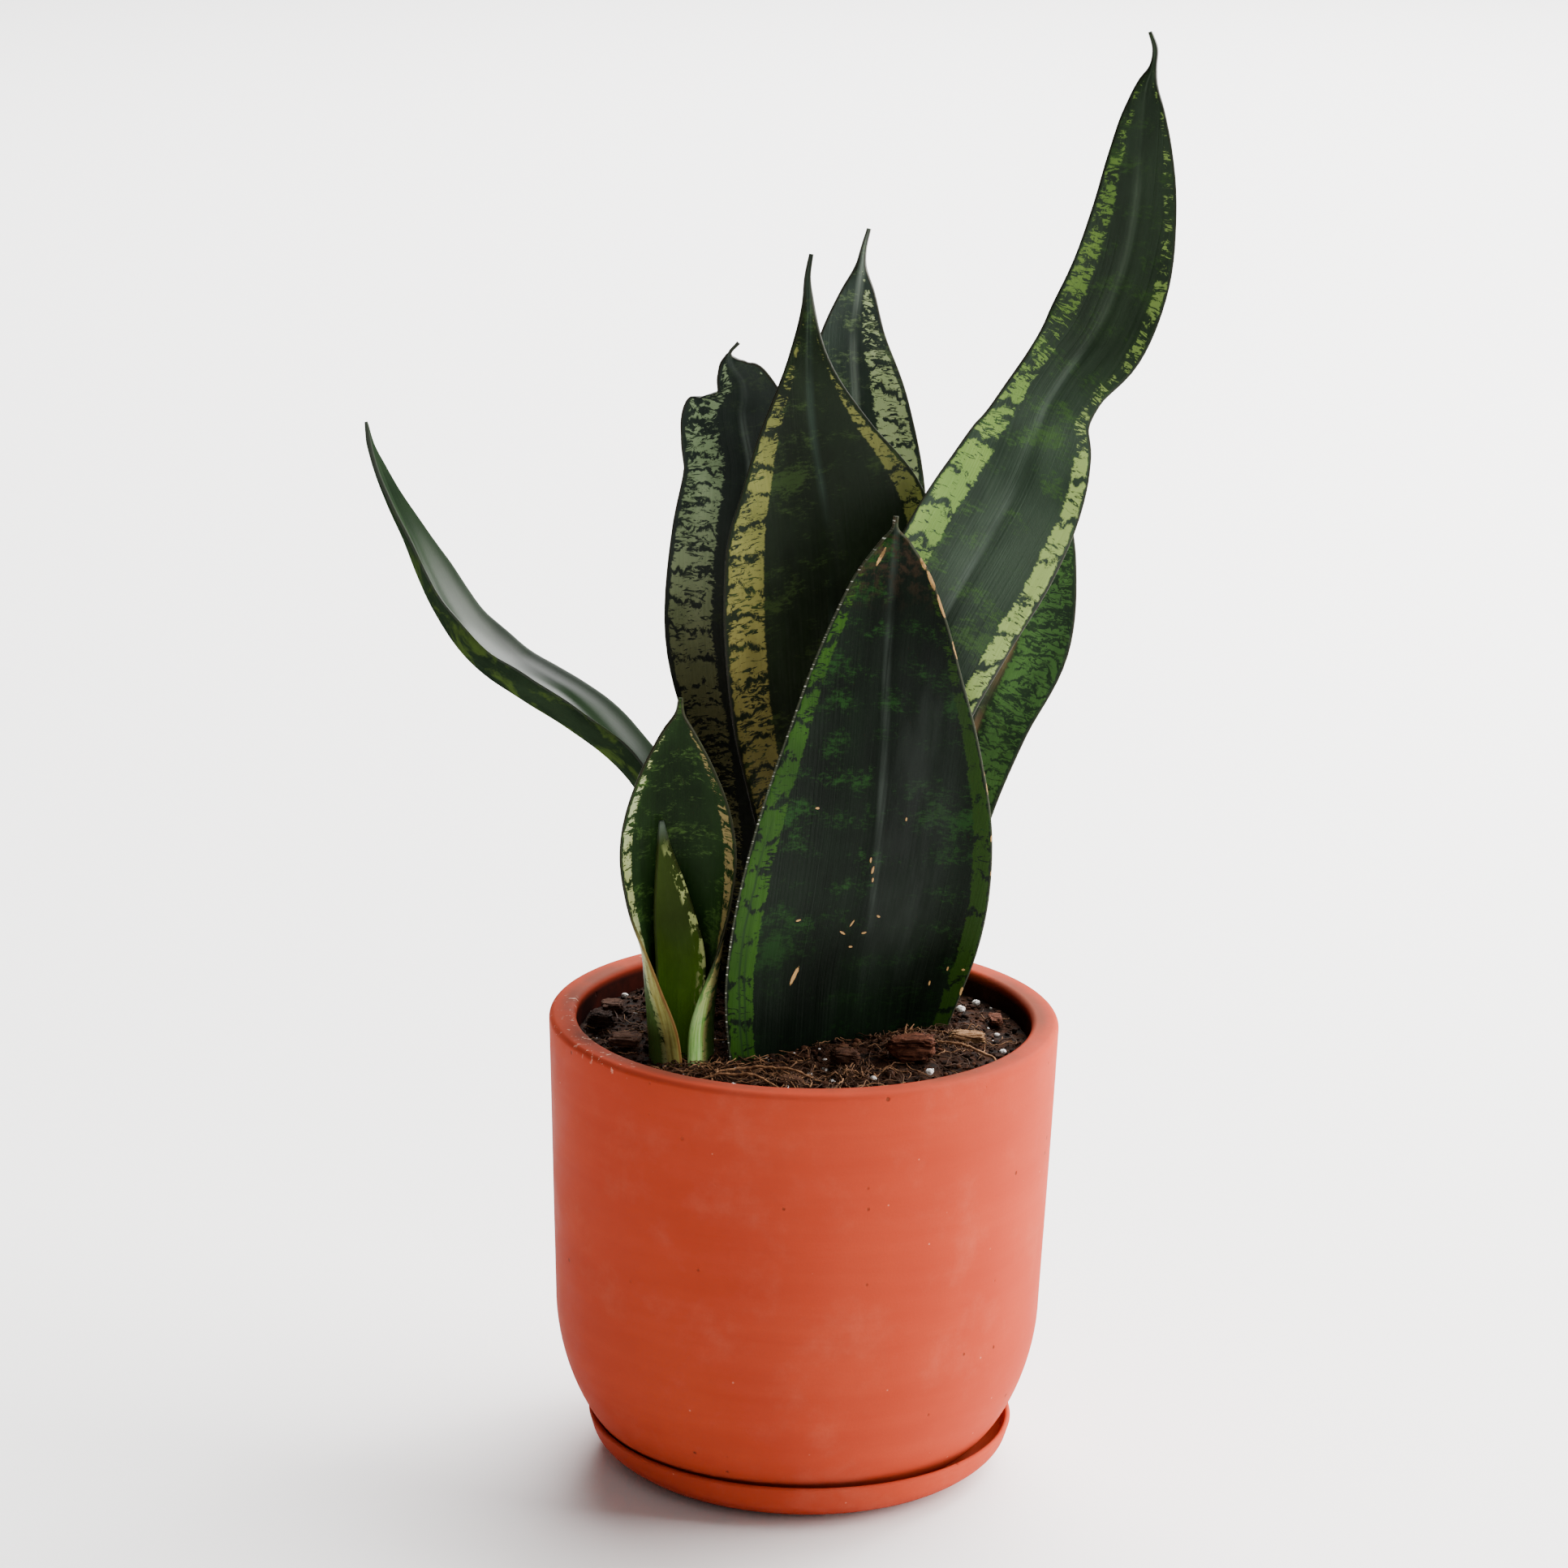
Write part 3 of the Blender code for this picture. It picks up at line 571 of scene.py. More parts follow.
# dark marks in them: scattered flecks and zigzag lines, denser toward both ends
density = (given["Broken"] + ease(along - given["Top"], -45.0, 0.0) * 0.42
           + ease(along - given["Low"], 50.0, 0.0) * 0.30
           + (on_leaf(0.05, 0.045, 9.0, 2.0) - 0.5) * 1.5)
marks = ease(on_leaf(0.24, 0.75, 13.0, 6.0, 0.68, 1.2) + density * 0.26, 0.665, 0.70)
sway = (along + on_leaf(0.10, 0.03, 17.0, 2.0) * 16.0
        + on_leaf(0.45, 0.25, 19.0, 3.0, 0.6) * 5.5)
off_line = abs(calc("FRACT", sway / given["Pitch"]) - 0.5)
lines = (ease(off_line, 0.15, 0.06)
         * ease(on_leaf(0.30, 0.20, 23.0, 4.0, 0.7) + density * 0.2, 0.50, 0.57))
# cross bars between the bands, fuzzy, fainter low down
bar = (on_leaf(0.40, 1.0, 31.0, 7.0, 0.78, 0.6) + off_line * 0.30
       + on_leaf(0.055, 0.05, 37.0, 3.0) * 0.85)
bar = ease(bar, 1.03, 1.24) * given["Bars"] * ease(along, 25.0, 70.0, 0.25, 1.0)
vein = on_leaf(1.3, 0.010, 41.0, 4.0, 0.65)
off_rib = abs(across + given["Rib Shift"] * ease(along, 170.0, -20.0)
              + (on_leaf(0.0, 0.02, 43.0, 1.0) - 0.5) * 2.0)
midrib = (ease(off_rib, 1.9, 0.1) * ease(on_leaf(0.0, 0.028, 47.0, 2.0), 0.36, 0.60)
          * ease(along, 22.0, 75.0) * ease(vein, 0.3, 0.6, 0.4, 1.0))
close_group(leaf_markings, {
    "Band": band * (1.0 - calc("MAXIMUM", marks, lines)), "Bar": bar, "Vein": vein,
    "Midrib": midrib, "Margin": ease(rim, 0.7, 0.25), "Cloud": on_leaf(0.05, 0.025, 51.0, 3.0),
    "Height": vein + on_leaf(2.4, 1.1, 45.0, 2.0) * 0.22})


def leaf_skin(name, seed, body, body_light, band, band_dark, left, right, bar_colour,
              rim=0.9, jag=1.0, broken=0.4, top=150.0, low=-100.0, pitch=9.0, bars=0.5,
              rough=0.34, shine=0.5, margin=(0.020, 0.016, 0.010), sheen_streak_amount=0.3,
              sheen_streak_colour=(0.16, 0.20, 0.17), right_band=None, rib_shift=0.0):
    """Waxy skin; gives the material, its tree, its colour and the place on the leaf."""
    mat, tree = new_material(name)
    where = kept(tree, "leaf_place", "Vector")
    out = use_group(tree, leaf_markings, {
        "Place": where, "Seed": seed, "Left Band": left, "Right Band": right,
        "Dark Rim": rim, "Jag": jag, "Broken": broken, "Top": top, "Low": low,
        "Pitch": pitch, "Bars": bars, "Rib Shift": rib_shift})
    vein = out["Vein"]
    colour = tint(ease(out["Cloud"], 0.3, 0.7), body, body_light)
    colour = tint(ease(vein, 0.40, 0.72) * 0.25, colour, body_light)
    colour = tint(out["Bar"], colour, bar_colour)
    # the midrib streak: a painted sheen on most leaves, a real brown streak on the spotted one
    colour = tint(out["Midrib"] * sheen_streak_amount, colour, sheen_streak_colour)
    pale = tint(ease(out["Cloud"], 0.35, 0.65), band_dark, band)
    pale = tint(ease(vein, 0.3, 0.7) * 0.35, pale, band_dark)
    if right_band:
        pale = tint(ease(split(where)[0], 2.0, -2.0), pale, right_band)
    colour = tint(out["Band"], colour, pale)
    colour = tint(out["Margin"] * 0.7, colour, margin)
    gloss = ease(vein, 0.25, 0.75, rough - 0.07, rough + 0.09) + out["Band"] * 0.05
    dress(tree, colour, gloss, out["Height"], 0.16 * MM, shine=shine)
    return mat, tree, colour, where


# its right band is painted darker than the left, as shade on the side turned from the light
front_skin, tree, colour, where = leaf_skin(
    "leaf_front_skin", 3.0, (0.0012, 0.0024, 0.0013), (0.0034, 0.0070, 0.0036),
    (0.017, 0.052, 0.004), (0.009, 0.028, 0.003), 0.235, 0.150,
    bar_colour=(0.008, 0.034, 0.005), rim=0.8, jag=0.7, broken=0.24, top=150.0,
    pitch=11.0, bars=0.75, rough=0.33, shine=0.035, sheen_streak_amount=0.13,
    right_band=(0.010, 0.027, 0.003), margin=(0.045, 0.050, 0.032), rib_shift=9.0)
across, along, half_width = split(where)
from_left = half_width - across
wander = mottling(vector(0.0, along * 0.05, 3.0), 1.0)
for depth, reach in ((4.6, 95.0), (6.6, 62.0)):
    # thin dark lines that run down inside the left band
    off_line = abs(from_left - (wander * 2.0 + (depth - 1.0)))
    line = ease(off_line, 0.65, 0.15) * ease(along, reach, reach - 30.0, 0.0, 0.75)
    colour = tint(line, colour, (0.006, 0.016, 0.005))
# a painted sheen greys the blade to the right of the midrib
painted_sheen = (ease(abs(across + 15.0), 17.0, 3.0) * ease(along, 28.0, 60.0)
         * ease(along, 150.0, 110.0)
         * ease(mottling(vector(across * 0.12, along * 0.03, 21.0), 1.0), 0.3, 0.65, 0.08, 0.34))
colour = tint(painted_sheen, colour, (0.030, 0.036, 0.032))
# dry nicks and rubbed specks: across, along, half sizes (mm), lean
flat, nearest = vector(across, along, 0.0), 9.0
for u, v, wide, tall, lean in (
        (17.3, 40.0, 0.7, 2.7, 0.45), (17.7, 90.3, 0.8, 0.35, 0.0),
        (-11.5, 87.6, 0.3, 0.5, 0.0), (-2.3, 74.9, 0.3, 0.8, 0.0), (-3.4, 72.0, 0.4, 1.1, 0.1),
        (-3.9, 69.0, 0.3, 0.7, 0.0), (-7.9, 58.4, 0.7, 0.3, 0.3), (19.1, 55.7, 0.9, 0.3, -0.3),
        (0.1, 55.6, 0.3, 1.1, 0.5), (2.8, 52.6, 1.1, 0.3, 0.4), (-4.4, 53.1, 0.8, 0.3, -0.3),
        (-1.0, 48.5, 0.6, 0.3, 0.0), (-34.5, 43.3, 0.3, 0.9, 0.0), (-39.6, 43.3, 0.6, 0.5, 0.0),
        (-29.7, 37.2, 0.3, 1.0, 0.0), (-41.0, 33.8, 0.6, 1.9, 0.0),
        (-9.0, 163.4, 0.6, 2.0, -0.45), (-11.7, 158.6, 0.6, 3.0, -0.45),
        (-15.2, 151.5, 0.5, 3.6, -0.42), (-20.8, 139.0, 0.6, 3.4, -0.38),
        (-22.6, 134.6, 0.4, 1.4, -0.36), (-24.4, 129.8, 0.5, 2.2, -0.34),
        (-33.4, 102.8, 0.5, 1.6, -0.2), (-34.6, 98.7, 0.5, 2.4, -0.2),
        (4.3, 165.0, 0.6, 3.2, 0.4), (-38.2, 84.0, 0.4, 0.9, -0.1),
        (-40.3, 74.0, 0.4, 0.8, 0.0)):
    spot = derive("ShaderNodeMapping", {"Vector": flat, "Location": (u, v, 0.0),
                                        "Rotation": (0.0, 0.0, lean),
                                        "Scale": (wide, tall, 1.0)}, vector_type="TEXTURE")
    away = derive("ShaderNodeVectorMath", {0: spot}, "Value", operation="LENGTH")
    nearest = calc("MINIMUM", away, nearest)
ragged = nearest + mottling(flat, 1.1, 4.0, 0.7) * 1.1
colour = tint(ease(ragged, 1.60, 1.35, 0.0, 0.9), colour, (0.36, 0.21, 0.08))
# the last of the tip has dried brown
dried = ease(along, 146.0, 168.0) * ease(mottling(flat, 0.35, 4.0, 0.6), 0.45, 0.62, 0.0, 0.7)
colour = tint(dried, colour, (0.030, 0.017, 0.009))
# tiny pale beads along the left margin
beads = (ease(mottling(vector(0.0, along * 1.6, 8.0), 1.0, 2.0), 0.56, 0.66, 0.0, 0.8)
         * ease(from_left, 0.6, 0.2))
dress(tree, tint(beads, colour, (0.55, 0.56, 0.48)))
front = blade("leaf_front_blade", (
    (7.8, -6, 112, 66, -56, 18), (8.4, -6, 130, 77, -56, 22),
    (10.0, -5, 152, 84, -60, 30), (13.8, -4, 174, 83.5, -64, 36),
    (16.7, -3, 196, 76.5, -68, 42), (18.5, -2, 217, 64, -72, 46),
    (19.8, -1, 239, 49, -76, 50), (21.4, -1, 260, 33, -80, 56),
    (22.3, -1, 274.5, 18.5, -82, 60), (22.6, -2, 281, 8, -84, 60),
    (22.6, -2, 283.5, 2.6, -84, 40), (22.8, -2, 287.5, 1.4, -84, 40)),
    5.0, front_skin, across=61)
stand(front, "leaf_front")


# ---------------------------------------------------------------------------
# Middle leaf.  Tall and broad behind the front one, brown-green, its bands
# faded to tan on the side that gets the light.
def shade_along(colour, where, start, stop, shade, most=1.0):
    """Multiply the colour by a shade, more and more from one place along the leaf on."""
    amount = ease(split(where)[1], start, stop, 0.0, most)
    return tint(amount, colour, tint(1.0, colour, shade, "MULTIPLY"))


center_skin, tree, colour, where = leaf_skin(
    "leaf_center_skin", 17.0, (0.0045, 0.0060, 0.0028), (0.010, 0.014, 0.006),
    (0.210, 0.165, 0.046), (0.125, 0.102, 0.026), 0.38, 0.25,
    bar_colour=(0.030, 0.043, 0.010), rim=1.0, jag=0.5, broken=0.42, top=232.0,
    pitch=9.0, bars=0.65, shine=0.08, sheen_streak_amount=0.10)
# its bands are less faded, greener, toward the top
dress(tree, shade_along(colour, where, 90.0, 190.0, (0.74, 0.98, 0.95)))
center = blade("leaf_center_blade", (
    (14.6, 24, 110, 40, -62, 30), (14.2, 24, 130, 45, -64, 40),
    (13.3, 23, 160, 53, -66, 50), (11.0, 22, 193, 62, -70, 52),
    (7.5, 21, 225, 69, -74, 52), (5.0, 20, 257, 70, -76, 52),
    (2.3, 20, 286, 59.5, -78, 54), (-1.5, 20, 307, 36, -80, 56),
    (-3.4, 20, 328.5, 12.5, -82, 60), (-3.6, 21, 344, 3.6, -84, 60),
    (-3.9, 21, 352, 1.8, -84, 40), (-3.0, 21, 358.5, 1.2, -84, 40)),
    5.0, center_skin, across=57)
stand(center, "leaf_center")


# ---------------------------------------------------------------------------
# Tall leaf that leans to the right.  The longest and brightest, pinched at a
# waist where it once grew past its neighbour.
tall_skin, tree, colour, where = leaf_skin(
    "leaf_right_tall_skin", 29.0, (0.011, 0.021, 0.012), (0.032, 0.052, 0.032),
    (0.205, 0.310, 0.070), (0.130, 0.225, 0.048), 0.46, 0.27,
    bar_colour=(0.046, 0.115, 0.018), rim=0.8, jag=0.9, broken=0.40, top=228.0,
    pitch=12.0, bars=0.5, rough=0.32, shine=0.13, sheen_streak_amount=0.26,
    right_band=(0.275, 0.385, 0.110))
# the leaf is darker and fresher above its waist
dress(tree, shade_along(colour, where, 205.0, 245.0, (0.40, 0.46, 0.34), 0.95))
tall = blade("leaf_right_tall_blade", (
    (22.2, 12, 112, 30, -58, 30), (21.4, 11.5, 132, 34, -60, 36),
    (20.4, 10.5, 164, 37, -66, 46), (21.2, 9.5, 197, 39, -72, 50),
    (26.0, 9.5, 228, 41, -78, 50), (36.5, 9.5, 255, 45, -84, 48),
    (49.0, 10, 279, 46, -90, 46), (56.6, 10, 294, 42.5, -93, 46),
    (61.8, 11, 307.5, 36, -94, 46), (64.8, 11, 317, 28.5, -95, 46),
    (69.4, 11, 325.5, 26.5, -96, 46), (78.2, 11, 338.5, 30.5, -98, 46),
    (84.4, 11, 354, 29.5, -98, 46), (88.0, 11, 373, 25, -98, 46),
    (89.2, 11, 390, 19, -98, 46), (89.6, 11, 402, 12.5, -98, 46),
    (90.2, 11, 410, 6.2, -98, 44), (91.5, 11, 415, 2.2, -98, 40),
    (91.8, 11, 420, 1.6, -98, 40), (90.2, 11, 424.6, 1.1, -98, 40)),
    4.6, tall_skin, across=49, per_span=6)
stand(tall, "leaf_right_tall")


# ---------------------------------------------------------------------------
# Back leaves.  Three older blades behind: one in the middle, one at the left
# with a rolled, blunt top, and one that leans out at the right.
back_skin, *_ = leaf_skin(
    "leaf_back_center_skin", 41.0, (0.010, 0.018, 0.013), (0.024, 0.040, 0.028),
    (0.520, 0.600, 0.330), (0.330, 0.420, 0.190), 0.05, 0.66,
    bar_colour=(0.100, 0.150, 0.060), rim=1.2, jag=1.2, broken=0.34, top=235.0,
    pitch=8.0, bars=0.8, rough=0.38, shine=0.20, sheen_streak_amount=0.45, sheen_streak_colour=(0.30, 0.36, 0.30))
back = blade("leaf_back_center_blade", (
    (11.0, 51, 112, 20, -92, 40), (11.0, 51.5, 130, 22, -92, 50),
    (11.4, 52.5, 166, 26, -92, 56), (12.6, 54, 206, 32, -92, 60),
    (13.6, 54.5, 246, 39, -92, 60), (13.4, 54, 280, 41, -92, 60),
    (11.4, 54, 309.5, 33, -92, 60), (10.0, 54, 329, 21, -92, 60),
    (11.1, 54, 343, 10.5, -92, 60), (11.8, 54, 351, 3, -92, 50),
    (12.4, 54, 355.5, 1.8, -92, 40), (13.8, 54, 361.4, 1.2, -92, 40)),
    4.2, back_skin)
stand(back, "leaf_back_center")

blunt_skin, tree, colour, where = leaf_skin(
    "leaf_back_left_skin", 53.0, (0.008, 0.013, 0.010), (0.018, 0.028, 0.021),
    (0.260, 0.340, 0.190), (0.150, 0.210, 0.105), 0.60, 0.10,
    bar_colour=(0.030, 0.050, 0.022), rim=1.3, jag=1.2, broken=0.50, top=214.0, low=60.0,
    pitch=7.0, bars=0.6, rough=0.38, shine=0.09, sheen_streak_amount=0.3)
# low down it is painted darker and browner: painted shade behind the leaves in front, with a
# brown tone of its own
dress(tree, shade_along(colour, where, 190.0, 100.0, (0.52, 0.36, 0.26)))
blunt = blade("leaf_back_left_blade", (
    (-13.1, 38, 110, 24, -118, 40), (-13.3, 39, 129, 27, -118, 50),
    (-12.6, 42, 166, 31, -114, 60), (-15.8, 46, 206, 39.5, -110, 66),
    (-20.2, 50, 240, 48.5, -108, 70), (-20.2, 52, 269, 45.5, -104, 70),
    (-19.4, 53, 291, 41, -100, 70), (-21.6, 53, 302, 39, -98, 70),
    (-22.2, 53, 306.5, 37, -98, 74), (-21.8, 53, 311, 29, -98, 84),
    (-22.6, 53, 315.5, 20, -98, 90), (-25.0, 53, 319, 12, -98, 90),
    (-26.2, 53, 321.6, 6, -98, 70), (-26.4, 53, 323.2, 2, -98, 40),
    (-23.7, 53, 327, 1.1, -98, 40)), 4.4, blunt_skin)
stand(blunt, "leaf_back_left")

spotted_skin, *_ = leaf_skin(
    "leaf_right_back_skin", 67.0, (0.008, 0.018, 0.010), (0.018, 0.040, 0.018),
    (0.072, 0.165, 0.042), (0.040, 0.100, 0.026), 0.12, 0.92,
    bar_colour=(0.040, 0.090, 0.022), rim=1.0, jag=1.0, broken=0.55, top=175.0,
    pitch=5.0, bars=0.7, rough=0.40, shine=0.2, sheen_streak_amount=0.6, sheen_streak_colour=(0.28, 0.16, 0.09))
spotted = blade("leaf_right_back_blade", (
    (38.0, 38, 110, 18, -125, 40), (38.5, 39, 128, 20, -120, 46),
    (38.8, 42, 157, 23.5, -112, 54), (42.5, 46, 187, 27.5, -104, 58),
    (51.0, 51, 216, 32, -98, 60), (60.8, 55, 240, 35, -94, 60),
    (66.0, 57, 263, 26.5, -92, 60), (68.4, 58, 278, 16, -92, 50),
    (70.0, 58, 286.5, 7, -92, 50), (70.4, 58, 290, 2, -92, 40),
    (70.9, 58, 294.7, 1.2, -92, 40)), 4.2, spotted_skin)
stand(spotted, "leaf_right_back")


# ---------------------------------------------------------------------------
# Left leaf.  Bends right out over the rim, folded into a channel, so that its
# glossy upper face looks up and its mottled underside shows below.
left_skin, tree, colour, where = leaf_skin(
    "leaf_left_skin", 79.0, (0.006, 0.011, 0.006), (0.014, 0.024, 0.012),
    (0.040, 0.062, 0.010), (0.022, 0.038, 0.007), 0.0, 0.0,
    bar_colour=(0.012, 0.020, 0.009), rim=0.6, jag=0.3, broken=0.70, top=210.0,
    pitch=9.0, bars=0.3, rough=0.40, shine=0.0, sheen_streak_amount=0.0, margin=(0.040, 0.045, 0.036))
upper = kept(tree, "upper_face")
across, along, half_width = split(where)
# the upper face is glossy but for the shaded bottom of its channel and the tip
bottom = across + ease(along, 90.0, 128.0, 3.0, 14.0)
channel = (ease(abs(bottom), ease(along, 130.0, 105.0, 3.2, 8.0), 0.6)
           * ease(along, 148.0, 122.0))
glossy = (upper * ease(along, 204.0, 160.0) * (1.0 - channel)
          * ease(half_width + across, 0.5, 5.0, 0.35, 1.0))
# big soft blotches on the underside, none toward the tip
flat = vector(across * 0.11, along * 0.085, 4.0)
blotch = (ease(mottling(flat, 1.0, 4.0, 0.62, 0.5), 0.48, 0.62) * ease(upper, 0.6, 0.4)
          * ease(along, 215.0, 175.0))
dress(tree, tint(blotch * 0.85, colour, (0.034, 0.056, 0.012)),
      rough=ease(glossy, 0.0, 1.0, 0.92, 0.38),
      coat=glossy * ease(along, 90.0, 132.0, 0.05, 0.40))
tree.nodes["Principled BSDF"].inputs["Coat Roughness"].default_value = 0.30
leaning = blade("leaf_left_blade", (
    (-37.0, 24, 110, 22, -20, 60), (-37.2, 24.5, 130, 24, -20, 66),
    (-37.6, 25.5, 152, 26.5, -18, 76), (-39.4, 27, 173, 29, -14, 90),
    (-45.0, 29, 189.5, 32, -8, 98), (-52.0, 31, 200, 36, -6, 100),
    (-60.4, 33, 207.8, 40, -6, 100), (-72.0, 35, 215.6, 43, -6, 100),
    (-84.2, 37, 222.4, 43.5, -6, 100), (-95.6, 39, 229.4, 42, -6, 100),
    (-104.4, 40.5, 237.8, 39, -6, 98), (-110.8, 42, 247.6, 33.5, -8, 94),
    (-115.8, 43, 258, 27, -10, 88), (-120.4, 44, 268.7, 19, -10, 80),
    (-125.2, 45, 278.6, 13, -12, 70), (-129.0, 46, 287.6, 8, -14, 60),
    (-131.6, 46.5, 295.5, 3.2, -14, 50), (-132.9, 47, 302, 1.1, -14, 40)),
    3.8, left_skin, per_span=6)
stand(leaning, "leaf_left")


# ---------------------------------------------------------------------------
# Young shoot.  A short cupped leaf that wraps round a still smaller one; their
# bands are pale, and the rolled base is nearly white-green.
shoot_skin, tree, colour, where = leaf_skin(
    "leaf_small_outer_skin", 97.0, (0.0035, 0.0095, 0.0022), (0.010, 0.026, 0.006),
    (0.340, 0.400, 0.210), (0.230, 0.260, 0.080), 0.22, 0.24,
    bar_colour=(0.040, 0.085, 0.016), rim=0.9, jag=0.7, broken=0.36, top=112.0,
    pitch=8.0, bars=0.9, rough=0.36, shine=0.04, sheen_streak_amount=0.0,
    right_band=(0.205, 0.160, 0.062))
across, along, half_width = split(where)
from_left = half_width - across
# the sheath is fresh green outside, and its right margin bleaches at the base
fresh = (ease(along, 58.0, 20.0) * ease(half_width - abs(across), 4.0, 6.5)
         * ease(kept(tree, "upper_face"), 0.6, 0.4, 0.0, 0.85))
colour = tint(fresh, colour, (0.070, 0.140, 0.028))
bleach = ease(along, 52.0, 22.0, 0.0, 0.9) * ease(half_width + across, 5.0, 3.6)
streaks = ease(mottling(vector(across * 1.1, along * 0.05, 2.0), 1.0, 4.0, 0.6), 0.35, 0.65)
colour = tint(bleach, colour, tint(streaks, (0.15, 0.36, 0.06), (0.42, 0.66, 0.25)))
# its left margin turns straw yellow there, with a thin rusty line outside
straw = ease(along, 66.0, 40.0, 0.0, 0.9) * ease(from_left, 4.6, 3.6)
colour = tint(straw, colour, tint(streaks, (0.20, 0.17, 0.035), (0.36, 0.36, 0.11)))
dress(tree, tint(straw * ease(from_left, 1.0, 0.5), colour, (0.16, 0.075, 0.022)))
shoot = blade("leaf_small_outer_blade", (
    (-36.4, -15.8, 112, 49, -82, 346), (-36.4, -15.6, 131, 51, -82, 350),
    (-36.6, -14.8, 141, 51, -84, 336), (-36.4, -14.2, 152, 49, -87, 292),
    (-36.0, -13.8, 164, 44, -89, 228), (-36.6, -14.2, 178, 42, -90, 160),
    (-37.2, -15.2, 192, 40.5, -90, 122), (-37.4, -17.5, 206, 33.5, -90, 96),
    (-37.6, -20.5, 219, 21.5, -90, 80), (-37.6, -23, 229, 9.5, -90, 70),
    (-37.4, -24, 233.5, 3, -90, 50), (-37.2, -25, 238.5, 1.2, -90, 40)),
    2.6, shoot_skin, across=65, ripple=0.1, channel=0.2)
stand(shoot, "leaf_small_outer")

newest_skin, tree, colour, where = leaf_skin(
    "leaf_small_inner_skin", 103.0, (0.050, 0.130, 0.010), (0.115, 0.250, 0.022),
    (0.330, 0.400, 0.150), (0.190, 0.280, 0.065), 0.0, 0.0,
    bar_colour=(0.090, 0.180, 0.030), rim=0.5, jag=0.3, broken=0.62, top=110.0,
    pitch=6.0, bars=0.5, rough=0.42, shine=0.03, sheen_streak_amount=0.0)
across, along, half_width = split(where)
colour = tint(ease(along, 22.0, 60.0, 0.0, 0.92), colour, (0.015, 0.021, 0.004))
# cream fragments are strung along the right margin
flecks = mottling(vector(across * 0.45, along * 0.22, 6.0), 1.0, 4.0, 0.6)
cream = (ease(flecks, 0.51, 0.56) * ease(half_width + across, 3.4, 2.2)
         * ease(along, 84.0, 72.0))
colour = tint(cream, colour, (0.300, 0.350, 0.125))
dress(tree, tint(ease(along, 80.0, 89.0, 0.0, 0.6), colour, (0.10, 0.13, 0.11)))
newest = blade("leaf_small_inner_blade", (
    (-36.8, -23.0, 114, 11, -84, 130), (-36.8, -23.0, 131, 13.0, -84, 140),
    (-36.5, -21.2, 146, 16, -84, 130), (-36.4, -19.2, 160, 16.4, -84, 104),
    (-38.2, -18.6, 172, 13.4, -84, 90), (-40.0, -19.4, 184, 8.6, -84, 80),
    (-41.4, -20, 193, 4.2, -84, 66), (-42.2, -20.4, 201, 1.2, -84, 40)),
    1.8, newest_skin, across=33, ripple=0.05, channel=0.15)
stand(newest, "leaf_small_inner")


# ---------------------------------------------------------------------------
# Bark.  Split chips and fibrous lumps of composted bark that lie on the soil.
def bark_skin(name, dark, light):
    mat, tree = new_material(name)
    place = here(tree, "Generated")
    x, y, z = split(place)
    lines = mottling(vector(x * 1.6, y * 16.0, z * 9.0), 1.0, 5.0, 0.65, 0.6)
    grit = mottling(place, 22.0, 4.0, 0.7)
    colour = tint(ease(lines, 0.36, 0.64), dark, light)
    colour = tint(ease(grit, 0.58, 0.72), colour, tuple(c * 0.4 for c in dark))
    dress(tree, colour, ease(grit, 0.3, 0.7, 0.7, 0.95), lines + grit * 0.4, 0.6 * MM, shine=0.06)
    return mat


def bark_piece(node, mat, grooves):
    """Rough split piece that fills the room of the plain solid."""
    low, high = (Vector(c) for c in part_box(node))
    mid, half = (low + high) / 2, (high - low) / 2
    shape, tris = pebble(5)
    seed = sum(map(ord, node))
    verts = []
    for v in shape:
        # between a ball and a block, lopsided, and cleft along its length
        p = Vector([math.copysign(abs(c) ** 0.55, c) for c in v])
        lopsided = [noise.noise(p * 0.9 + Vector((far, seed, 0))) for far in (0, 30, 60)]
        rough = noise.fractal(p * 2.6 + Vector((seed, 0, 0)), 0.7, 2.1, 5)
        cleft = noise.noise(Vector((p.x * 1.1, p.y * 6.0, p.z * 6.0 + seed)))
        k = 0.88 + 0.12 * rough + grooves * cleft
        verts.append(tuple(mid + Vector([(c * k + 0.22 * d) * h
                                         for c, d, h in zip(p, lopsided, half)])))
    stand(solid(node + "_bark", verts, tris, mat), node)


for node, dark, light, grooves in (
        ("bark_chip_tan", (0.10, 0.045, 0.020), (0.30, 0.170, 0.085), 0.20),
        ("bark_chip_left_a", (0.030, 0.013, 0.008), (0.085, 0.038, 0.022), 0.20),
        ("bark_chip_left_b", (0.035, 0.016, 0.010), (0.110, 0.050, 0.028), 0.20),
        ("bark_chip_back", (0.030, 0.013, 0.008), (0.095, 0.042, 0.024), 0.20),
        ("bark_chip_right", (0.045, 0.015, 0.008), (0.130, 0.046, 0.025), 0.20),
        ("bark_chip_front", (0.030, 0.013, 0.008), (0.100, 0.046, 0.025), 0.20),
        ("bark_lump_red", (0.030, 0.010, 0.006), (0.100, 0.034, 0.017), 0.24),
        ("bark_lump_brown", (0.018, 0.008, 0.005), (0.062, 0.026, 0.014), 0.24),
        ("bark_lump_dark", (0.012, 0.006, 0.004), (0.040, 0.018, 0.011), 0.24)):
    bark_piece(node, bark_skin(node + "_skin", dark, light), grooves)


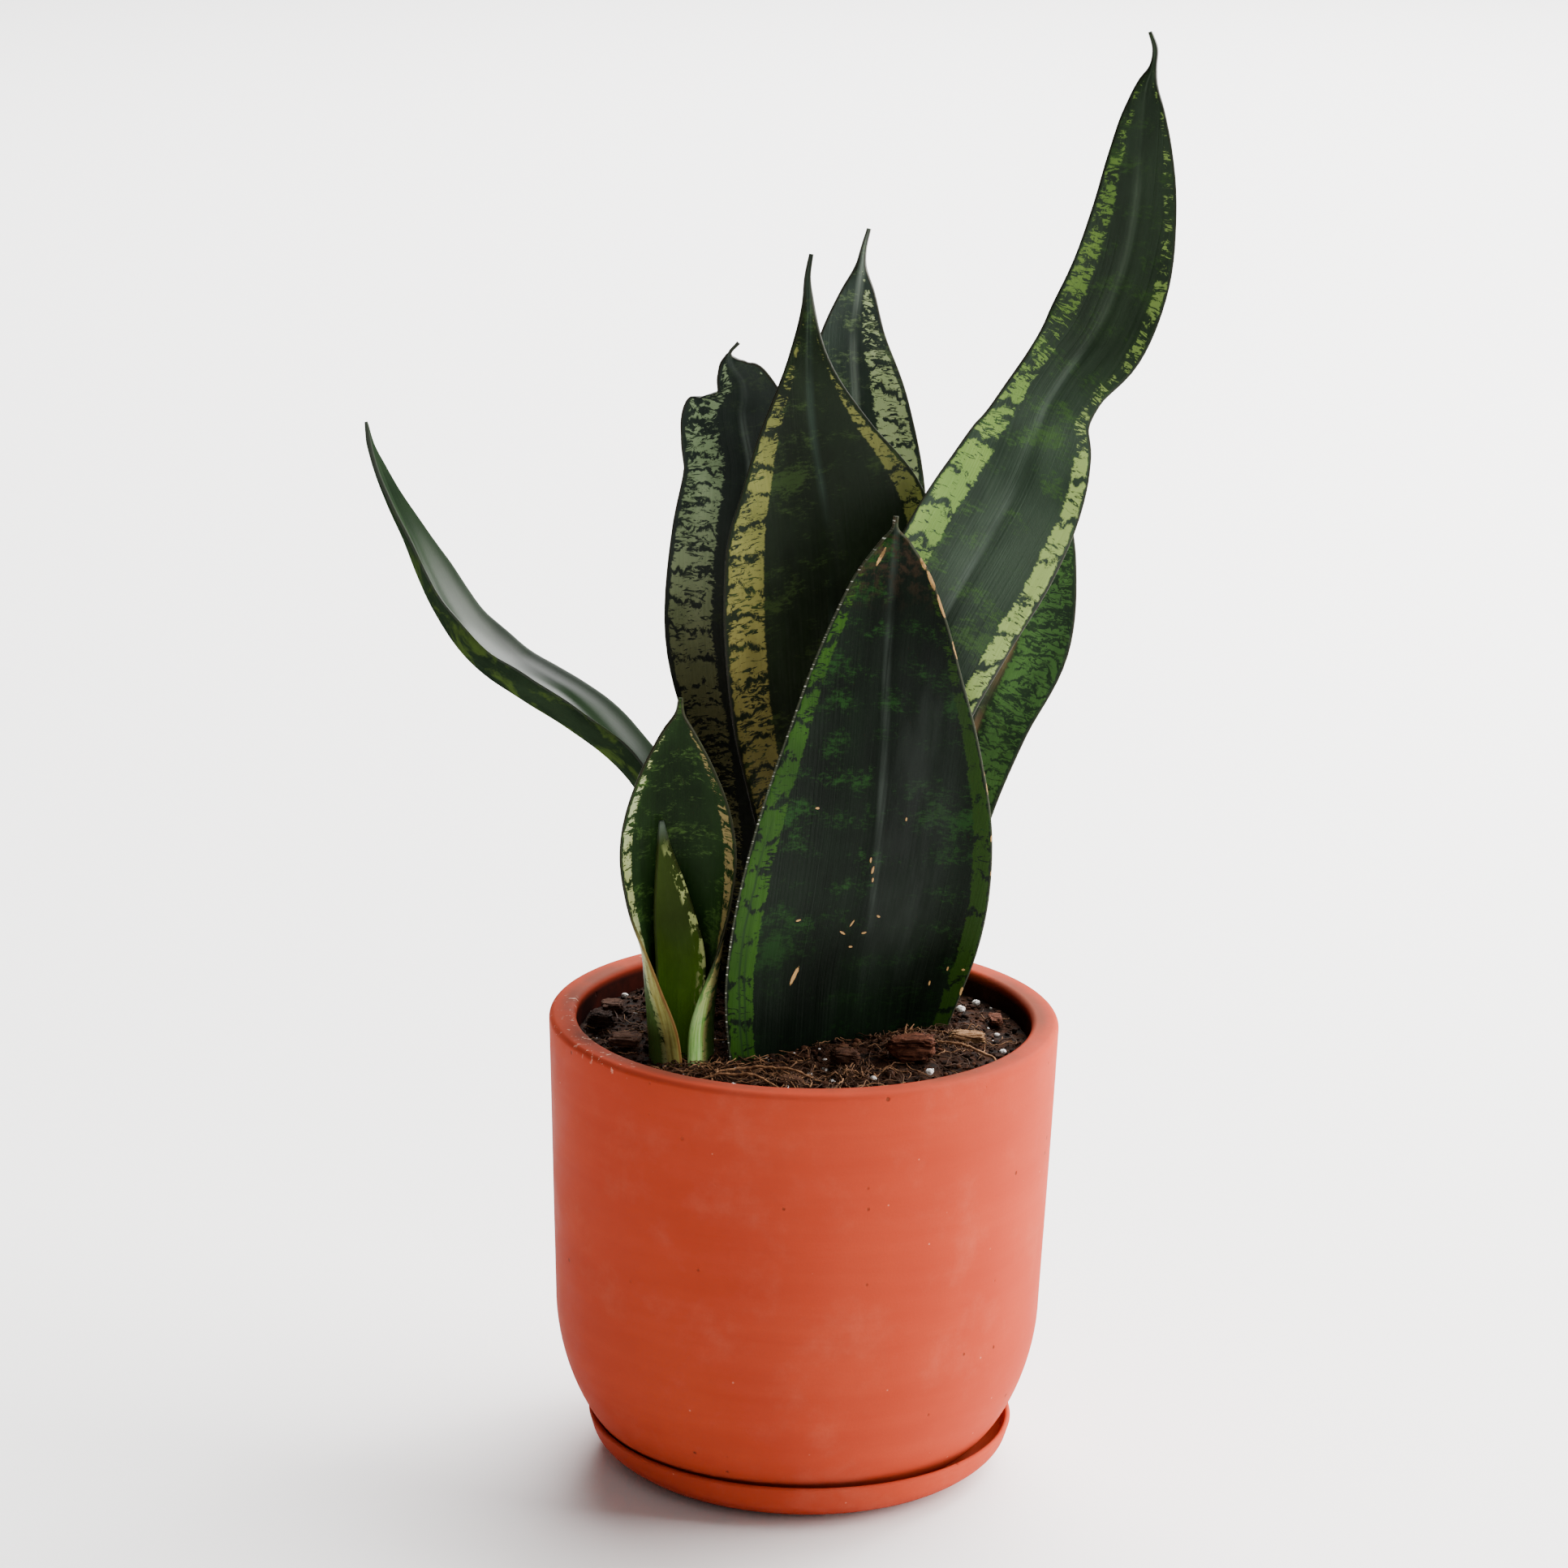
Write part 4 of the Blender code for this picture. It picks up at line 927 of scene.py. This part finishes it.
# ---------------------------------------------------------------------------
# Perlite.  White puffed grains mixed through the soil.
perlite, tree = new_material("perlite_grain")
foam = mottling(here(tree), 900.0, 3.0, 0.7)
dress(tree, tint(ease(foam, 0.35, 0.65), (0.38, 0.34, 0.31), (0.80, 0.78, 0.76)),
      ease(foam, 0.3, 0.7, 0.80, 0.98), foam, 0.5 * MM, shine=0.1)
for letter in "abcdefgh":
    node = "perlite_" + letter
    low, high = (Vector(c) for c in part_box(node))
    mid, half = (low + high) / 2, (high - low) / 2
    shape, tris = pebble(4)
    jolt = Vector((ord(letter), 2.0, 5.0))
    verts = []
    for v in shape:
        k = 0.95 + 0.16 * noise.fractal(v * 1.8 + jolt, 0.7, 2.2, 4)
        verts.append(tuple(mid + Vector([c * h * k for c, h in zip(v, half)])))
    stand(solid(node + "_grain", verts, tris, perlite), node)
grit = scatter("perlite_grit", 90, (0.8, 1.9), perlite, 21, flat=0.9, detail=2, sink=0.5)
lie(grit)


# ---------------------------------------------------------------------------
# Coir.  Brown strands of coconut fibre, three stout ones and many fine ones,
# lying every way over the soil.
coir, tree = new_material("coir_strand")
streak = mottling(here(tree), 700.0, 3.0, 0.6)
colour = tint(ease(streak, 0.3, 0.7), (0.110, 0.050, 0.024), (0.28, 0.145, 0.070))
colour = tint(ease(kept(tree, "shade"), 0.0, 0.60, 0.0, 0.95), colour, (0.028, 0.012, 0.006))
dress(tree, colour, ease(streak, 0.3, 0.7, 0.65, 0.9), streak, 0.3 * MM, shine=0.1)


def strand(path, radius, sides=6):
    """Tube round a list of points, thinner toward both ends."""
    verts, faces = [], []
    for i, p in enumerate(path):
        t = i / (len(path) - 1)
        r = radius * (0.45 + 0.55 * math.sin(math.pi * min(max(t, 0.06), 0.94)))
        along = (path[min(i + 1, len(path) - 1)] - path[max(i - 1, 0)]).normalized()
        side = along.cross(Vector((0, 0, 1))).normalized()
        up = side.cross(along)
        verts += [tuple(p + (side * math.cos(a) + up * math.sin(a)) * r) for a in
                  (2 * math.pi * j / sides for j in range(sides))]
    for i in range(len(path) - 1):
        faces += [(i * sides + j, i * sides + (j + 1) % sides,
                   (i + 1) * sides + (j + 1) % sides, (i + 1) * sides + j)
                  for j in range(sides)]
    faces += [tuple(range(sides))[::-1],
              tuple((len(path) - 1) * sides + j for j in range(sides))]
    return verts, faces


for node, route in (("coir_fibre_a", ((-27, -41), (-16, -38), (-4, -40), (6, -45))),
                    ("coir_fibre_b", ((-31, -46), (-22, -45), (-13, -48), (-6, -54))),
                    ("coir_fibre_c", ((36, -14), (45, -19), (54, -24), (57, -30)))):
    path = [Vector(p) * MM for p in smooth_route([(x, y, 0.0) for x, y in route], 12)]
    for i, p in enumerate(path):
        p.z = (soil_top(p.x, p.y) + 0.8 * MM
               + 2.4 * MM * math.sin(math.pi * i / (len(path) - 1)))
    stand(solid(node + "_strand", *strand(path, 0.45 * MM, 8), coir), node)

# some lie anywhere, the rest are matted together in a few clumps; for each one
# its place and spread in mm, and the thickest one is told twice
rnd = random.Random(5)
anywhere, strands = 400, 620
clumps = ((37, -8, 6.0), (-27, -36, 4.5), (13, -40, 6.0), (-6, -46, 5.0), (37, -8, 6.0))
verts, faces, shades = [], [], []
for number in range(strands):
    r, a = soil_r * 0.93 * math.sqrt(rnd.random()), rnd.uniform(0, 2 * math.pi)
    x, y, heading = r * math.cos(a), r * math.sin(a), rnd.uniform(0, 2 * math.pi)
    if number >= anywhere:
        clump_x, clump_y, spread = clumps[number % len(clumps)]
        x, y = rnd.gauss(clump_x, spread) * MM, rnd.gauss(clump_y, spread) * MM
    bend, size, shade = rnd.uniform(-0.35, 0.35), rnd.uniform(0.8, 2.2) * MM, rnd.random()
    path = []
    for i in range(9):
        if math.hypot(x, y) > soil_r - 1.0 * MM:
            break
        rise = rnd.uniform(0.2, 1.0 if number < anywhere else 2.2) * MM
        path.append(Vector((x, y, soil_top(x, y) + 0.35 * MM + rise)))
        heading += bend + rnd.uniform(-0.25, 0.25)
        x, y = x + size * math.cos(heading), y + size * math.sin(heading)
    if len(path) < 4:
        continue
    v, f = strand(path, rnd.uniform(0.12, 0.26) * MM, 5)
    faces += [tuple(len(verts) + i for i in face) for face in f]
    verts += v
    shades += [shade] * len(v)
fluff = solid("coir_fine_strands", verts, faces, coir)
keep_values(fluff, "shade", "FLOAT", shades)
lie(fluff)


# ---------------------------------------------------------------------------
# Table, light and camera.  A plain pale table, a large soft window light from
# the right and behind, a weaker one from the front.
paper, tree = new_material("pale_table")
shader = tree.nodes["Principled BSDF"]
shader.inputs["Base Color"].default_value = (0.88, 0.865, 0.855, 1.0)
shader.inputs["Roughness"].default_value = 0.75
shader.inputs["Specular IOR Level"].default_value = 0.2
verts = [(0.0, 0.0, 0.0)] + [(r * math.cos(math.radians(a)), r * math.sin(math.radians(a)), 0.0)
                             for r in (1.0, 3.0, 9.0) for a in range(0, 360, 10)]
faces = [(0, 1 + i, 1 + (i + 1) % 36) for i in range(36)]
faces += [(1 + k + i, 37 + k + i, 37 + k + (i + 1) % 36, 1 + k + (i + 1) % 36)
          for k in (0, 36) for i in range(36)]
table = solid("table", verts, faces, paper)


def lamp(name, spot, aim, size, power, colour):
    data = bpy.data.lights.new(name, "AREA")
    data.shape, data.size, data.energy, data.color = "SQUARE", size, power, colour
    light = bpy.data.objects.new(name, data)
    light.location = spot
    light.rotation_euler = (Vector(aim) - Vector(spot)).to_track_quat("-Z", "Y").to_euler()
    bpy.context.scene.collection.objects.link(light)


lamp("window", (1.9, 0.35, 0.95), (0.0, 0.0, 0.15), 2.4, 245.0, (1.0, 0.99, 0.97))
lamp("sky", (1.2, 3.2, 3.2), (0.4, 1.9, 0.0), 4.6, 1080.0, (1.0, 1.0, 1.0))
lamp("front_fill", (0.3, -2.2, 1.5), (0.0, 0.0, 0.15), 1.4, 10.0, (1.0, 0.98, 0.96))
world = bpy.data.worlds.new("room")
world.use_nodes = True
world.node_tree.nodes["Background"].inputs[0].default_value = (1.0, 0.99, 0.985, 1.0)
world.node_tree.nodes["Background"].inputs[1].default_value = 0.14
bpy.context.scene.world = world

eye_place, look_down, roll = (-0.0074, -1.2716, 0.5536), 15.24, 1.30
eye = bpy.data.cameras.new("camera")
eye.sensor_width, eye.lens = 36.0, 104.35
eye.clip_start, eye.clip_end = 0.05, 50.0
camera = bpy.data.objects.new("camera", eye)
camera.matrix_world = (Matrix.Translation(eye_place)
                       @ Matrix.Rotation(math.radians(90 - look_down), 4, "X")
                       @ Matrix.Rotation(math.radians(roll), 4, "Z"))
bpy.context.scene.collection.objects.link(camera)
bpy.context.scene.camera = camera
